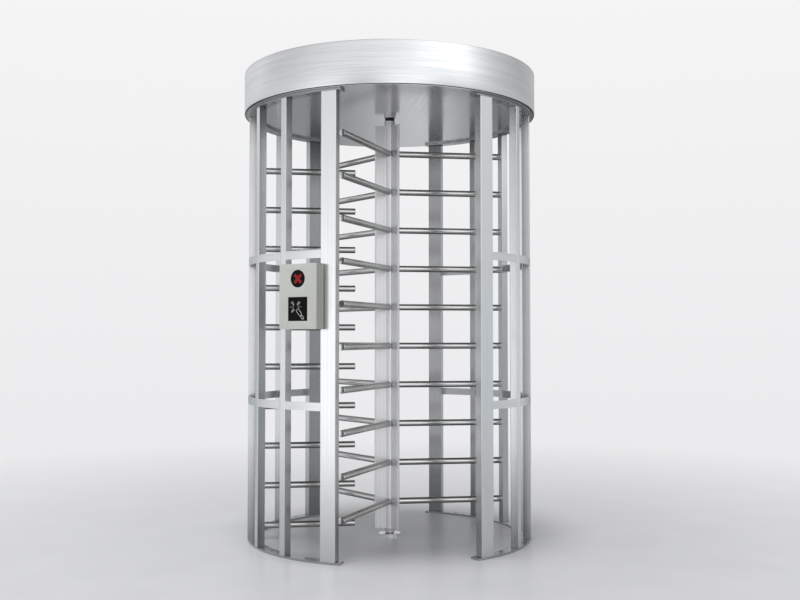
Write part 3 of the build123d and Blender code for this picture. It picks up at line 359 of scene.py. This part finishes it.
def polished_chrome(name):
    """Bright plating with fine wiping scratches and dulled edges."""
    material, tree, shader = new_material(name)
    place = place_of(tree)
    grain = use(tree, BRUSHING, {"Place": place, "Stretch": (160, 160, 600), "Drift Size": 0.05})
    marks = use(tree, HANDLING, {"Place": place, "Amount": 1.0})
    tone = worn(tree, grain["Drift"], 0.3, (0.95, 0.955, 0.96, 1), (0.82, 0.825, 0.835, 1))
    tone = worn(tree, marks["Scuff"], 0.4, tone, (0.3, 0.3, 0.31, 1))
    tree.links.new(tone, shader.inputs["Base Color"])
    rough = spread(tree, grain["Streaks"], 0, 1, 0.05, 0.12)
    rough = maths(tree, "ADD", rough, maths(tree, "MULTIPLY", marks["Scuff"], 0.2))
    tree.links.new(rough, shader.inputs["Roughness"])
    tree.links.new(bumped(tree, grain["Streaks"], 0.04, 0.0002), shader.inputs["Normal"])
    shader.inputs["Metallic"].default_value = 1.0
    return material


def powder_coat(name, colour, rubbed, grain_size=900.0, roughness=0.46):
    """Thick paint with fine orange-peel, thinner and lighter on the edges, slightly soiled."""
    material, tree, shader = new_material(name)
    place = place_of(tree)
    peel = mottled(tree, place, grain_size, 2.0)
    cloud = mottled(tree, place, 7.0, 4.0)
    edge = use(tree, EDGE, {"Place": place, "Radius": 0.002, "Unevenness": 0.7})["Edge"]
    soiled = spread(tree, cloud, 0.35, 0.65, 0.0, 0.4)
    tone = mixed(tree, soiled, shade(colour, 1), shade(colour, 0.88))
    tone = mixed(tree, spread(tree, peel, 0.4, 0.6, 0.0, 0.15), tone, shade(colour, 0.8))
    tone = worn(tree, edge, 0.6, tone, shade(rubbed, 1))
    tree.links.new(tone, shader.inputs["Base Color"])
    rough = spread(tree, cloud, 0.3, 0.7, roughness - 0.06, roughness + 0.08)
    tree.links.new(rough, shader.inputs["Roughness"])
    tree.links.new(bumped(tree, peel, 0.25, 0.0003), shader.inputs["Normal"])
    return material


def black_glass(name):
    """Gloss black front with faint wiping marks and dust."""
    material, tree, shader = new_material(name)
    place = place_of(tree)
    wipes = use(tree, BRUSHING, {"Place": place, "Stretch": (40, 40, 260), "Drift Size": 0.04})
    dust = spread(tree, mottled(tree, place, 1500.0, 2.0), 0.66, 0.8, 0.0, 0.2)
    tone = mixed(tree, dust, (0.004, 0.004, 0.005, 1), (0.12, 0.12, 0.12, 1))
    tree.links.new(tone, shader.inputs["Base Color"])
    tree.links.new(spread(tree, wipes["Streaks"], 0.2, 1.0, 0.08, 0.2), shader.inputs["Roughness"])
    tree.links.new(bumped(tree, wipes["Drift"], 0.02, 0.0005), shader.inputs["Normal"])
    shader.inputs["IOR"].default_value = 1.15
    return material


def lamp(name, colour, strength):
    """A glowing dot or line, brighter in places: the cross's small lamps, and the sign's lines, whose
    glow is painted light.
    """
    material, tree, shader = new_material(name)
    flicker = spread(tree, mottled(tree, place_of(tree), 420.0, 1.0), 0.3, 0.7, 0.0, 1.0)
    glow = mixed(tree, flicker, shade(colour, 0.6), shade(colour, 1))
    tree.links.new(glow, shader.inputs["Base Color"])
    tree.links.new(glow, shader.inputs["Emission Color"])
    shader.inputs["Emission Strength"].default_value = strength
    shader.inputs["Roughness"].default_value = 0.35
    return material


def plain_plastic(name, colour, roughness):
    """Moulded plastic or rubber with a fine spark-eroded grain and pale rubbed edges."""
    material, tree, shader = new_material(name)
    place = place_of(tree)
    grain = mottled(tree, place, 500.0, 3.0)
    cloud = spread(tree, mottled(tree, place, 30.0, 3.0), 0.3, 0.7, 0.0, 0.5)
    edge = use(tree, EDGE, {"Place": place, "Radius": 0.001, "Unevenness": 0.6})["Edge"]
    tone = mixed(tree, cloud, shade(colour, 1), shade(colour, 0.75))
    rubbed = [min(1, channel * 1.6 + 0.03) for channel in colour]
    tone = worn(tree, edge, 0.35, tone, shade(rubbed, 1))
    tree.links.new(tone, shader.inputs["Base Color"])
    rough = spread(tree, grain, 0.3, 0.7, roughness - 0.07, roughness + 0.07)
    tree.links.new(rough, shader.inputs["Roughness"])
    tree.links.new(bumped(tree, grain, 0.2, 0.0003), shader.inputs["Normal"])
    return material


def circuit_board(name):
    """Green lacquer over copper tracks, with dark parts standing on it."""
    material, tree, shader = new_material(name)
    place = place_of(tree)
    cells = {"Vector": place, "Scale": 150.0}
    tracks = add(tree, "ShaderNodeTexVoronoi", cells, feature="DISTANCE_TO_EDGE",
                 distance="MANHATTAN")
    line = spread(tree, tracks.outputs["Distance"], 0.02, 0.06, 1.0, 0.0)
    normal = add(tree, "ShaderNodeNewGeometry").outputs["Normal"]
    upright = add(tree, "ShaderNodeSeparateXYZ", {0: normal}).outputs["Z"]
    sides = spread(tree, maths(tree, "ABSOLUTE", upright), 0.3, 0.7, 1.0, 0.0)
    tone = mixed(tree, line, (0.01, 0.09, 0.045, 1), (0.07, 0.25, 0.1, 1))
    tone = mixed(tree, sides, tone, (0.03, 0.03, 0.032, 1))
    tree.links.new(tone, shader.inputs["Base Color"])
    tree.links.new(spread(tree, line, 0, 1, 0.5, 0.3), shader.inputs["Roughness"])
    tree.links.new(bumped(tree, line, 0.3, 0.0002), shader.inputs["Normal"])
    return material


UPRIGHT = (900, 900, 5)
AROUND = (5, 5, 900)
ROUND_DRUM = (4, 4, 330)
FORE_AND_AFT = (620, 5, 620)
ALONG_BAR = (6, 700, 700)
BAR_PLACE = "bar_place"
STEEL_LIGHT = (0.78, 0.79, 0.795)
STEEL_DARK = (0.66, 0.672, 0.68)

FINISHES = {
    "post_steel": brushed_steel("post steel", STEEL_LIGHT, STEEL_DARK, UPRIGHT, 0.22,
                                painted_inside_shade=0.6, corner=0.005),
    "rail_steel": brushed_steel("rail steel", STEEL_LIGHT, STEEL_DARK, AROUND, 0.3, painted_inside_shade=0.5),
    "plate_steel": brushed_steel("plate steel", (0.42, 0.425, 0.43), (0.32, 0.325, 0.33),
                                 FORE_AND_AFT, 0.16),
    "bar_steel": brushed_steel("bar steel", (0.7, 0.7, 0.7), (0.57, 0.57, 0.572), ALONG_BAR, 0.16,
                               attribute=BAR_PLACE, relief=0.2, drift=0.2, painted_bar_shade=0.8),
    "column_aluminium": brushed_steel("column aluminium", (0.93, 0.93, 0.935), (0.84, 0.84, 0.845),
                                      UPRIGHT, 0.45, metallic=0.85, grooves=0.3, painted_inside_shade=0.05,
                                      foot=0.0, head_from=1.76),
    "canopy_steel": brushed_steel("canopy steel", (0.84, 0.85, 0.855), (0.6, 0.61, 0.62), ROUND_DRUM,
                                  0.24, relief=0.5, painted_inside_shade=0.7),
    "ceiling_steel": brushed_steel("ceiling steel", (0.62, 0.622, 0.625), (0.56, 0.562, 0.568),
                                   FORE_AND_AFT, 0.17),
    "hub_steel": brushed_steel("hub steel", (0.7, 0.7, 0.71), (0.5, 0.5, 0.51), AROUND, 0.25),
    "floor_chrome": polished_chrome("floor ring chrome"),
    "seal_rubber": plain_plastic("seal rubber", (0.012, 0.012, 0.013), 0.6),
    "bush_plastic": plain_plastic("bush plastic", (0.05, 0.05, 0.055), 0.45),
    "screw_steel": brushed_steel("screw steel", (0.1, 0.1, 0.105), (0.05, 0.05, 0.055),
                                 (300, 300, 300), 0.35),
    "spring_steel": brushed_steel("spring steel", (0.55, 0.55, 0.57), (0.35, 0.35, 0.37),
                                  (400, 400, 400), 0.3),
    "mechanism_steel": brushed_steel("mechanism steel", (0.62, 0.62, 0.63), (0.42, 0.42, 0.44),
                                     (300, 20, 300), 0.34),
    "bearing_steel": brushed_steel("bearing steel", (0.72, 0.72, 0.74), (0.55, 0.55, 0.57), AROUND,
                                   0.14),
    "housing_iron": powder_coat("housing paint", (0.1, 0.11, 0.12), (0.34, 0.34, 0.33), 300.0, 0.55),
    "motor_paint": powder_coat("motor paint", (0.03, 0.03, 0.033), (0.3, 0.3, 0.3), 500.0, 0.4),
    "board_plastic": circuit_board("circuit board"),
    "box_paint": powder_coat("box paint", (0.70, 0.71, 0.665), (0.78, 0.785, 0.75)),
    "window_black": black_glass("window black"),
    "gland_plastic": plain_plastic("gland plastic", (0.03, 0.03, 0.032), 0.4),
}
LID_STEEL = brushed_steel("lid steel", (0.8, 0.81, 0.815), (0.68, 0.69, 0.7), FORE_AND_AFT, 0.3,
                          relief=0.3, drift=3.0)
RED_LAMP = lamp("red lamp", (0.42, 0.008, 0.01), 0.75)
# painted light: the sign's white lines glow by themselves
GLOWING_SIGN_LINE = lamp("white line", (0.9, 0.9, 0.9), 0.9)


def dress_nodes():
    """Give every CAD node the finish of its slot, and the lid a plainer steel of its own."""
    for part in frame["record"]["subparts"]:
        node = nodes[part["node"]]
        finish = LID_STEEL if part["node"] == "canopy_lid" else FINISHES[part["material_slot"]]
        node.data.materials.clear()
        node.data.materials.append(finish)


# ---------------------------------------------------------------- making pieces
def piece(name, mesh, body, slot, replaced=(), material=None):
    """A finished piece: its mesh, finish, body and the CAD nodes it stands for."""
    made = bpy.data.objects.new(name, mesh)
    bpy.context.scene.collection.objects.link(made)
    mesh.materials.clear()
    mesh.materials.append(material or FINISHES[slot])
    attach(made, body)
    if replaced:
        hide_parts(*replaced)
    return made


def mesh_of(name, build, smooth_angle=30):
    """A mesh from a function that fills a bmesh, with smooth faces up to an angle."""
    bm = bmesh.new()
    build(bm)
    bmesh.ops.recalc_face_normals(bm, faces=bm.faces)
    mesh = bpy.data.meshes.new(name)
    bm.to_mesh(mesh)
    bm.free()
    mesh.shade_smooth()
    mesh.set_sharp_from_angle(angle=radians(smooth_angle))
    return mesh


def turned(profile, segments):
    """A builder that turns a closed outline of (radius, height) points about the Z axis."""
    def build(bm):
        rings = []
        for step in range(segments):
            angle = 2 * pi * step / segments
            rings.append([bm.verts.new((r * cos(angle), r * sin(angle), z)) for r, z in profile])
        for step in range(segments):
            here, there = rings[step], rings[(step + 1) % segments]
            for point in range(len(profile)):
                after = (point + 1) % len(profile)
                bm.faces.new((here[point], there[point], there[after], here[after]))
    return build


def quarter(centre, radius, start, end, steps=5):
    """Points of a rounded corner in a turned outline, from one angle to another in degrees."""
    angles = [radians(start + (end - start) * step / steps) for step in range(steps + 1)]
    return [(centre[0] + radius * cos(a), centre[1] + radius * sin(a)) for a in angles]


def drum_skin():
    """The drum's wall with a rolled lower edge, turned in at the top and bottom."""
    low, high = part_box("canopy_skin")
    outer = high.x
    inner, lip = outer - SKIN_INSET, outer - SKIN_LIP
    half_roll = SKIN_ROLL / 2
    lip_under = low.z + SKIN_LIP_RISE
    lip_over = lip_under + SKIN_SHEET
    outline = quarter((outer - SKIN_ROLL, low.z + SKIN_ROLL), SKIN_ROLL, -150, 0, 8)
    outline += quarter((outer - half_roll, high.z - half_roll), half_roll, 0, 90, 4)
    outline += [(lip, high.z), (lip, high.z - SKIN_SHEET), (inner, high.z - SKIN_SHEET)]
    outline += [(inner, lip_over), (lip, lip_over), (lip, lip_under), (inner, lip_under)]
    mesh = mesh_of("drum_skin", turned(outline, CANOPY_SEGMENTS))
    piece("drum_skin", mesh, "cage", "canopy_steel", ["canopy_skin"])


# ---------------------------------------------------------------- bars
def bar_outline(start, end):
    """Points of (distance along, radius): a weld bead, a straight run and a rounded end."""
    outline = [(start, 0.0), (start, BAR_RADIUS * 0.98)]
    for turn in range(0, 181, 30):
        outline.append((start + WELD_RADIUS * (1 - cos(radians(turn))),
                        BAR_RADIUS + WELD_RADIUS * WELD_RISE * sin(radians(turn))))
    for step in range(1, BAR_LENGTHS):
        outline.append((start + (end - start) * step / BAR_LENGTHS, BAR_RADIUS))
    for turn in range(0, 91, 15):
        outline.append((end - BAR_END_ROUND + BAR_END_ROUND * sin(radians(turn)),
                        BAR_RADIUS - BAR_END_ROUND * (1 - cos(radians(turn)))))
    return outline + [(end, BAR_RADIUS * 0.4), (end, 0.0)]


def single_bar(name, start, end):
    """One bar along +X with a rounded end and a weld bead at its root."""
    def build(bm):
        rings = []
        for x, r in bar_outline(start, end):
            if r == 0.0:
                rings.append([bm.verts.new((x, 0, 0))])
                continue
            angles = [2 * pi * side / BAR_SIDES for side in range(BAR_SIDES)]
            rings.append([bm.verts.new((x, r * cos(a), r * sin(a))) for a in angles])
        for here, there in zip(rings, rings[1:]):
            for side in range(BAR_SIDES):
                after = (side + 1) % BAR_SIDES
                corners = [here[side % len(here)], here[after % len(here)],
                           there[after % len(there)], there[side % len(there)]]
                bm.faces.new(list(dict.fromkeys(corners)))
    mesh = mesh_of(name, build)
    place = mesh.attributes.new(BAR_PLACE, "FLOAT_VECTOR", "POINT")
    place.data.foreach_set("vector", [c for v in mesh.vertices for c in v.co])
    return mesh


def bar_stack_group():
    """Copies one bar up a column at a fixed pitch, and round it in equal turns."""
    inputs = (
        ("Bar", GEOMETRY, None), ("Levels", "NodeSocketInt", 10), ("Wings", "NodeSocketInt", 3),
        ("First Height", FLOAT, 0.1685), ("Pitch", FLOAT, 0.1953),
        ("Finish", "NodeSocketMaterial", None),
    )
    tree, given, end = new_group("bar stack", inputs, (("Bars", GEOMETRY),), "GeometryNodeTree")
    count = maths(tree, "MULTIPLY", given["Levels"], given["Wings"])
    points = add(tree, "GeometryNodePoints", {"Count": count}).outputs[0]
    number = add(tree, "GeometryNodeInputIndex").outputs[0]
    level = maths(tree, "FLOOR", maths(tree, "DIVIDE", number, given["Wings"]))
    wing = maths(tree, "MODULO", number, given["Wings"])
    rise = maths(tree, "MULTIPLY", level, given["Pitch"])
    height = maths(tree, "ADD", given["First Height"], rise)
    where = add(tree, "ShaderNodeCombineXYZ", {"Z": height}).outputs[0]
    placed = {"Geometry": points, "Position": where}
    placed = add(tree, "GeometryNodeSetPosition", placed).outputs[0]
    turn = maths(tree, "MULTIPLY", wing, maths(tree, "DIVIDE", 2 * pi, given["Wings"]))
    facing = add(tree, "ShaderNodeCombineXYZ", {"Z": turn}).outputs[0]
    copies = {"Points": placed, "Instance": given["Bar"], "Rotation": facing}
    copies = add(tree, "GeometryNodeInstanceOnPoints", copies).outputs[0]
    solid = add(tree, "GeometryNodeRealizeInstances", {"Geometry": copies}).outputs[0]
    named = add(tree, "GeometryNodeInputNamedAttribute", {"Name": BAR_PLACE},
                data_type="FLOAT_VECTOR").outputs[0]
    # the brushing is shifted along after every so many points, so that no two bars match
    batch = maths(tree, "FLOOR", maths(tree, "DIVIDE", number, BRUSHING_BATCH))
    shift = maths(tree, "MULTIPLY", batch, BRUSHING_SHIFT)
    moved = add(tree, "ShaderNodeCombineXYZ", {"X": shift}).outputs[0]
    total = add(tree, "ShaderNodeVectorMath", {0: named, 1: moved}, operation="ADD").outputs[0]
    stored = {"Geometry": solid, "Name": BAR_PLACE, "Value": total}
    stored = add(tree, "GeometryNodeStoreNamedAttribute", stored, data_type="FLOAT_VECTOR",
                 domain="POINT").outputs[0]
    dressed = {"Geometry": stored, "Material": given["Finish"]}
    dressed = add(tree, "GeometryNodeSetMaterial", dressed).outputs[0]
    tree.links.new(dressed, end.inputs["Bars"])
    return tree


def plain_copy(carrier, name):
    """The plain mesh that an object's modifiers make; the object itself is removed."""
    bpy.context.view_layer.update()
    evaluated = carrier.evaluated_get(bpy.context.evaluated_depsgraph_get())
    made = bpy.data.meshes.new_from_object(evaluated)
    bpy.data.objects.remove(carrier)
    made.name = name
    return made


def grown(name, mesh, group, values):
    """The plain mesh that a geometry tree makes from a starting mesh."""
    carrier = bpy.data.objects.new(name, mesh)
    bpy.context.scene.collection.objects.link(carrier)
    modifier = carrier.modifiers.new(name, "NODES")
    modifier.node_group = group
    sockets = {s.name: s.identifier for s in group.interface.items_tree if s.in_out == "INPUT"}
    for label, value in values.items():
        modifier[sockets[label]] = value
    return plain_copy(carrier, name)


def bars():
    """The rotor's three wings of arms and the comb."""
    stack = bar_stack_group()
    low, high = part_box("wing_a_arms")
    pitch = (high.z - low.z - 2 * BAR_RADIUS) / (BAR_LEVELS - 1)
    values = {"Levels": BAR_LEVELS, "Wings": ROTOR_WINGS, "First Height": low.z + BAR_RADIUS,
              "Pitch": pitch, "Finish": FINISHES["bar_steel"]}
    arm = single_bar("arm", ARM_ROOT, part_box("arm_caps")[1].x)
    arms = grown("wing_arms", arm, stack, values)
    replaced = ["wing_a_arms", "wing_b_arms", "wing_c_arms", "arm_caps"]
    piece("wing_arms", arms, "rotor", "bar_steel", replaced)
    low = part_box("comb_bars")[0]
    values.update({"Wings": 1, "First Height": low.z + BAR_RADIUS})
    bar = single_bar("comb_bar", low.x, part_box("comb_bar_caps")[1].x)
    comb = grown("comb", bar, stack, values)
    piece("comb", comb, "cage", "bar_steel", ["comb_bars", "comb_bar_caps"])


# ---------------------------------------------------------------- access box
OUTWARD = Vector((cos(BOX_FACING), sin(BOX_FACING), 0))
RIGHT = Vector((-sin(BOX_FACING), cos(BOX_FACING), 0))
UP = Vector((0, 0, 1))


def middle_height(node):
    """The height of a node's middle."""
    low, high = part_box(node)
    return (low.z + high.z) / 2


def led_group():
    """Small round lamps on a square grid, kept where they fall on a diagonal cross."""
    inputs = (
        ("Lamp", GEOMETRY, None), ("Pitch", FLOAT, LED_PITCH), ("Reach", FLOAT, CROSS_ARM),
        ("Half Width", FLOAT, CROSS_HALF_WIDTH),
        ("Finish", "NodeSocketMaterial", None),
    )
    tree, given, end = new_group("lamp cross", inputs, (("Lamps", GEOMETRY),), "GeometryNodeTree")
    side = maths(tree, "MULTIPLY", given["Reach"], 2.0)
    rows = maths(tree, "ROUND", maths(tree, "DIVIDE", side, given["Pitch"]))
    grid = {"Size X": side, "Size Y": side, "Vertices X": rows, "Vertices Y": rows}
    grid = add(tree, "GeometryNodeMeshGrid", grid).outputs["Mesh"]
    place = add(tree, "GeometryNodeInputPosition").outputs[0]
    split = add(tree, "ShaderNodeSeparateXYZ", {0: place}).outputs
    first = maths(tree, "ABSOLUTE", maths(tree, "SUBTRACT", split["X"], split["Y"]))
    second = maths(tree, "ABSOLUTE", maths(tree, "ADD", split["X"], split["Y"]))
    near = maths(tree, "MINIMUM", first, second)
    far = maths(tree, "MAXIMUM", first, second)
    on_arm = maths(tree, "LESS_THAN", near, given["Half Width"])
    inside = maths(tree, "LESS_THAN", far, maths(tree, "MULTIPLY", given["Reach"], CROSS_TIP))
    kept = maths(tree, "MULTIPLY", on_arm, inside)
    copies = {"Points": grid, "Instance": given["Lamp"], "Selection": kept}
    copies = add(tree, "GeometryNodeInstanceOnPoints", copies).outputs[0]
    solid = add(tree, "GeometryNodeRealizeInstances", {"Geometry": copies}).outputs[0]
    dressed = {"Geometry": solid, "Material": given["Finish"]}
    dressed = add(tree, "GeometryNodeSetMaterial", dressed).outputs[0]
    tree.links.new(dressed, end.inputs["Lamps"])
    return tree


def to_box_face(mesh, height):
    """Stand a flat mesh up on the box's front, with its middle at a height."""
    low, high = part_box("display_lens")
    middle = (low + high) / 2
    face = max(v.co.dot(OUTWARD) for v in nodes["display_lens"].data.vertices)
    place = RIGHT * middle.dot(RIGHT) + OUTWARD * face + UP * height
    turn = Matrix((RIGHT, UP, OUTWARD)).transposed().to_4x4()
    mesh.transform(Matrix.Translation(place) @ turn)


def single_lamp(bm):
    """One small lamp: a low eight-sided dome with a flat top."""
    dome = ((LED_RADIUS, 0.0), (LED_RADIUS, GLASS_PROUD * 0.5), (LED_RADIUS * 0.6, GLASS_PROUD))
    rings = []
    for radius, z in dome:
        angles = [2 * pi * side / LED_SIDES for side in range(LED_SIDES)]
        rings.append([bm.verts.new((radius * cos(a), radius * sin(a), z)) for a in angles])
    for here, there in zip(rings, rings[1:]):
        for side in range(LED_SIDES):
            after = (side + 1) % LED_SIDES
            bm.faces.new((here[side], here[after], there[after], there[side]))
    bm.faces.new(rings[-1])
    bm.faces.new(rings[0][::-1])


def display_cross():
    """The red cross of small lamps on the round display."""
    values = {"Finish": RED_LAMP, "Pitch": LED_PITCH}
    lamps = grown("display_cross", mesh_of("led", single_lamp), led_group(), values)
    to_box_face(lamps, middle_height("display_lens"))
    piece("display_cross", lamps, "cage", "window_black", material=RED_LAMP)


def stroke(bm, points, closed=False):
    """A raised flat line through points in the plane."""
    points = [Vector((*p, 0)) for p in points]
    count = len(points)
    lift = UP * GLASS_PROUD
    sides = []
    for index, point in enumerate(points):
        before = points[index - 1] if index or closed else point
        after = points[(index + 1) % count] if index < count - 1 or closed else point
        along = (after - before).normalized()
        across = Vector((-along.y, along.x, 0)) * STROKE_WIDTH / 2
        corners = (point - across, point + across, point + across + lift, point - across + lift)
        sides.append([bm.verts.new(corner) for corner in corners])
    pairs = list(zip(sides, sides[1:])) + ([(sides[-1], sides[0])] if closed else [])
    for here, there in pairs:
        for edge in range(4):
            after = (edge + 1) % 4
            bm.faces.new((here[edge], there[edge], there[after], here[after]))
    if not closed:
        bm.faces.new(sides[0][::-1])
        bm.faces.new(sides[-1])


def direction(bearing):
    """A flat direction at a bearing in degrees, and the direction to its left."""
    along = Vector((cos(radians(bearing)), sin(radians(bearing))))
    return along, Vector((-along.y, along.x))


def draw_sign(bm):
    """Waves on three diagonals, dashes to the left and right, and a key fob with its ring."""
    for bearing in (45, 135, 225):
        out, side = direction(bearing)
        for distance in WAVE_DISTANCES:
            middle = SIGN_CENTRE + out * distance
            stroke(bm, [tuple(middle - side * WAVE_HALF), tuple(middle + side * WAVE_HALF)])
    for distance in DASH_DISTANCES:
        middle = SIGN_CENTRE + Vector((distance, 0))
        stroke(bm, [(middle.x - DASH_HALF, middle.y), (middle.x + DASH_HALF, middle.y)])
    along, side = direction(FOB_BEARING)
    start = SIGN_CENTRE + along * FOB_START
    stroke(bm, [tuple(start + along * u + side * v) for u, v in FOB_OUTLINE], closed=True)
    turns = [2 * pi * step / RING_SIDES for step in range(RING_SIDES)]
    ring = [(RING_MIDDLE + RING_LENGTH * cos(a), RING_WIDTH * sin(a)) for a in turns]
    stroke(bm, [tuple(start + along * u + side * v) for u, v in ring], closed=True)


def reader_sign():
    """The reader's sign: short waves going out and a key fob held up to them."""
    mesh = mesh_of("reader_sign", draw_sign)
    to_box_face(mesh, middle_height("reader_window"))
    piece("reader_sign", mesh, "cage", "window_black", material=GLOWING_SIGN_LINE)


def softened(node, name, body, width, segments=3):
    """A CAD node's own shape with small rounded edges."""
    mesh = nodes[node].data.copy()
    bm = bmesh.new()
    bm.from_mesh(mesh)
    bmesh.ops.remove_doubles(bm, verts=bm.verts, dist=1e-6)
    bmesh.ops.dissolve_limit(bm, angle_limit=radians(1), verts=bm.verts, edges=bm.edges)
    bm.to_mesh(mesh)
    bm.free()
    carrier = bpy.data.objects.new(name, mesh)
    bpy.context.scene.collection.objects.link(carrier)
    modifier = carrier.modifiers.new("edges", "BEVEL")
    modifier.width = width
    modifier.segments = segments
    modifier.limit_method = "ANGLE"
    modifier.angle_limit = radians(50)
    made = plain_copy(carrier, name)
    made.shade_smooth()
    made.set_sharp_from_angle(angle=radians(35))
    slot = next(p["material_slot"] for p in frame["record"]["subparts"] if p["node"] == node)
    return piece(name, made, body, slot, [node])


# ---------------------------------------------------------------- stage
# bearing in degrees, tone, and warmth where it isn't the usual one
USUAL_WARMTH = -0.01
FILL_TONES = (
    (-180, 0.85), (-130, 0.9), (-105, 0.7), (-85, 0.3), (-60, 0.06), (30, 0.05), (80, 0.3),
    (130, 0.6), (180, 0.85),
)
HIGH_TONES = (
    (-180, 0.72), (-168, 0.79), (-143, 0.92), (-120, 0.98), (-98, 1.08), (-84, 1.17), (-70, 1.42),
    (-40, 1.6), (-27, 1.1), (-12, 0.75), (4, 0.6), (24, 0.5), (54, 0.57), (90, 0.6), (113, 0.76),
    (142, 0.87), (161, 0.72), (180, 0.72),
)
LEVEL_TONES = (
    (-180, 1.0), (-165, 1.2), (-150, 1.6), (-135, 1.25), (-118, 0.5), (-108, 0.9), (-97, 1.5),
    (-80, 1.6), (-69, 1.1), (-58, 0.42), (-50, 0.4), (-30, 0.6, -0.04), (-15, 0.74, -0.05),
    (5, 0.8, -0.03), (28, 0.84, 0.01), (45, 0.5, -0.02), (67, 0.25, -0.04), (90, 0.35, -0.04),
    (129, 0.6, -0.03), (158, 1.0, -0.02), (180, 1.0),
)
LOW_TONES = (
    (-180, 0.7), (-147, 0.9), (-60, 0.5), (0, 0.4), (60, 0.25), (74, 0.14), (77, 0.32), (79.5, 0.92),
    (82, 0.72), (85, 0.36), (95, 0.32), (140, 0.5), (180, 0.7),
)
CEILING_TONE = (0.3, 0.3, 0.305, 1)
BACKDROP_LOW = (0.83, 0.83, 0.845, 1)
BACKDROP_HIGH = (0.915, 0.915, 0.925, 1)
OVERHEAD = 1.7
OVERHEAD_SPREAD = radians(14)
OVERHEAD_TILT = (radians(3), radians(-2), 0)
LENS = 44.52
SENSOR_WIDTH = 36
CAMERA_PLACE = (-0.6964, -4.9681, 0.9979)
CAMERA_TURN = (radians(92.099), 0, radians(-8.578))


def floor():
    """A pale, faintly glossy floor that fades out into the background."""
    mesh = bpy.data.meshes.new("floor")
    corners = [(x * FLOOR_REACH, y * FLOOR_REACH, 0) for x, y in ((-1, -1), (1, -1), (1, 1), (-1, 1))]
    mesh.from_pydata(corners, [], [(0, 1, 2, 3)])
    made = bpy.data.objects.new("floor", mesh)
    bpy.context.scene.collection.objects.link(made)
    material, tree, shader = new_material("studio floor")
    place = place_of(tree)
    distance = add(tree, "ShaderNodeVectorMath", {0: place}, operation="LENGTH").outputs["Value"]
    cloud = spread(tree, mottled(tree, place, 3.0, 3.0), 0.3, 0.7, 0.0, 1.0)
    tone = mixed(tree, cloud, (0.62, 0.62, 0.63, 1), (0.66, 0.66, 0.67, 1))
    tree.links.new(tone, shader.inputs["Base Color"])
    shader.inputs["Roughness"].default_value = 0.32
    tree.links.new(spread(tree, distance, 1.0, 4.6, 1.0, 0.0), shader.inputs["Alpha"])
    mesh.materials.append(material)


def ring_of_tones(tree, turn, stops):
    """A tone for each compass bearing, from (degrees, tone) or (degrees, tone, warmth)."""
    node = add(tree, "ShaderNodeValToRGB", {"Fac": turn})
    ramp = node.color_ramp
    while len(ramp.elements) < len(stops):
        ramp.elements.new(0.5)
    for element, (bearing, tone, *warmth) in zip(ramp.elements, stops):
        warm = warmth[0] if warmth else USUAL_WARMTH
        element.position = (bearing + 180) / 360
        element.color = (tone * (1 + warm), tone, tone * (1 - warm), 1)
    return node.outputs[0]


def room():
    """A bright room: its own tones high, level and low, and a plain backdrop for the camera."""
    world = bpy.data.worlds.new("studio")
    bpy.context.scene.world = world
    world.use_nodes = True
    tree = world.node_tree
    tree.nodes.clear()
    way = add(tree, "ShaderNodeTexCoord").outputs["Generated"]
    split = add(tree, "ShaderNodeSeparateXYZ", {0: way}).outputs
    rise = split["Z"]
    bearing = maths(tree, "ARCTAN2", split["Y"], split["X"])
    turn = spread(tree, bearing, -pi, pi, 0.0, 1.0)
    high = ring_of_tones(tree, turn, HIGH_TONES)
    level = ring_of_tones(tree, turn, LEVEL_TONES)
    low = ring_of_tones(tree, turn, LOW_TONES)
    walls = mixed(tree, spread(tree, rise, 0.04, 0.2, 0.0, 1.0), level, high)
    walls = mixed(tree, spread(tree, rise, -0.08, -0.22, 0.0, 1.0), walls, low)
    walls = mixed(tree, spread(tree, rise, 0.5, 0.85, 0.0, 1.0), walls, CEILING_TONE)
    fade = spread(tree, rise, -0.1, 0.35, 0.0, 1.0)
    backdrop = mixed(tree, fade, BACKDROP_LOW, BACKDROP_HIGH)
    path = add(tree, "ShaderNodeLightPath").outputs
    fill = ring_of_tones(tree, turn, FILL_TONES)
    lit = mixed(tree, path["Is Diffuse Ray"], walls, fill)
    seen = mixed(tree, path["Is Camera Ray"], lit, backdrop)
    light = add(tree, "ShaderNodeBackground", {"Color": seen, "Strength": 1.0}).outputs[0]
    add(tree, "ShaderNodeOutputWorld", {"Surface": light})


def overhead_light():
    """A steep, soft light from overhead."""
    data = bpy.data.lights.new("overhead", "SUN")
    data.energy = OVERHEAD
    data.angle = OVERHEAD_SPREAD
    overhead = bpy.data.objects.new("overhead", data)
    overhead.rotation_euler = OVERHEAD_TILT
    bpy.context.scene.collection.objects.link(overhead)


def camera():
    """The view from the front, a little to the left, at chest height."""
    data = bpy.data.cameras.new("camera")
    data.lens = LENS
    data.sensor_width = SENSOR_WIDTH
    made = bpy.data.objects.new("camera", data)
    made.location = CAMERA_PLACE
    made.rotation_euler = CAMERA_TURN
    bpy.context.scene.collection.objects.link(made)
    bpy.context.scene.camera = made


dress_nodes()
drum_skin()
bars()
softened("access_box_cover", "access_box_shell", "cage", COVER_EDGE)
display_cross()
reader_sign()
floor()
room()
overhead_light()
camera()
bpy.context.scene.view_settings.view_transform = "Standard"
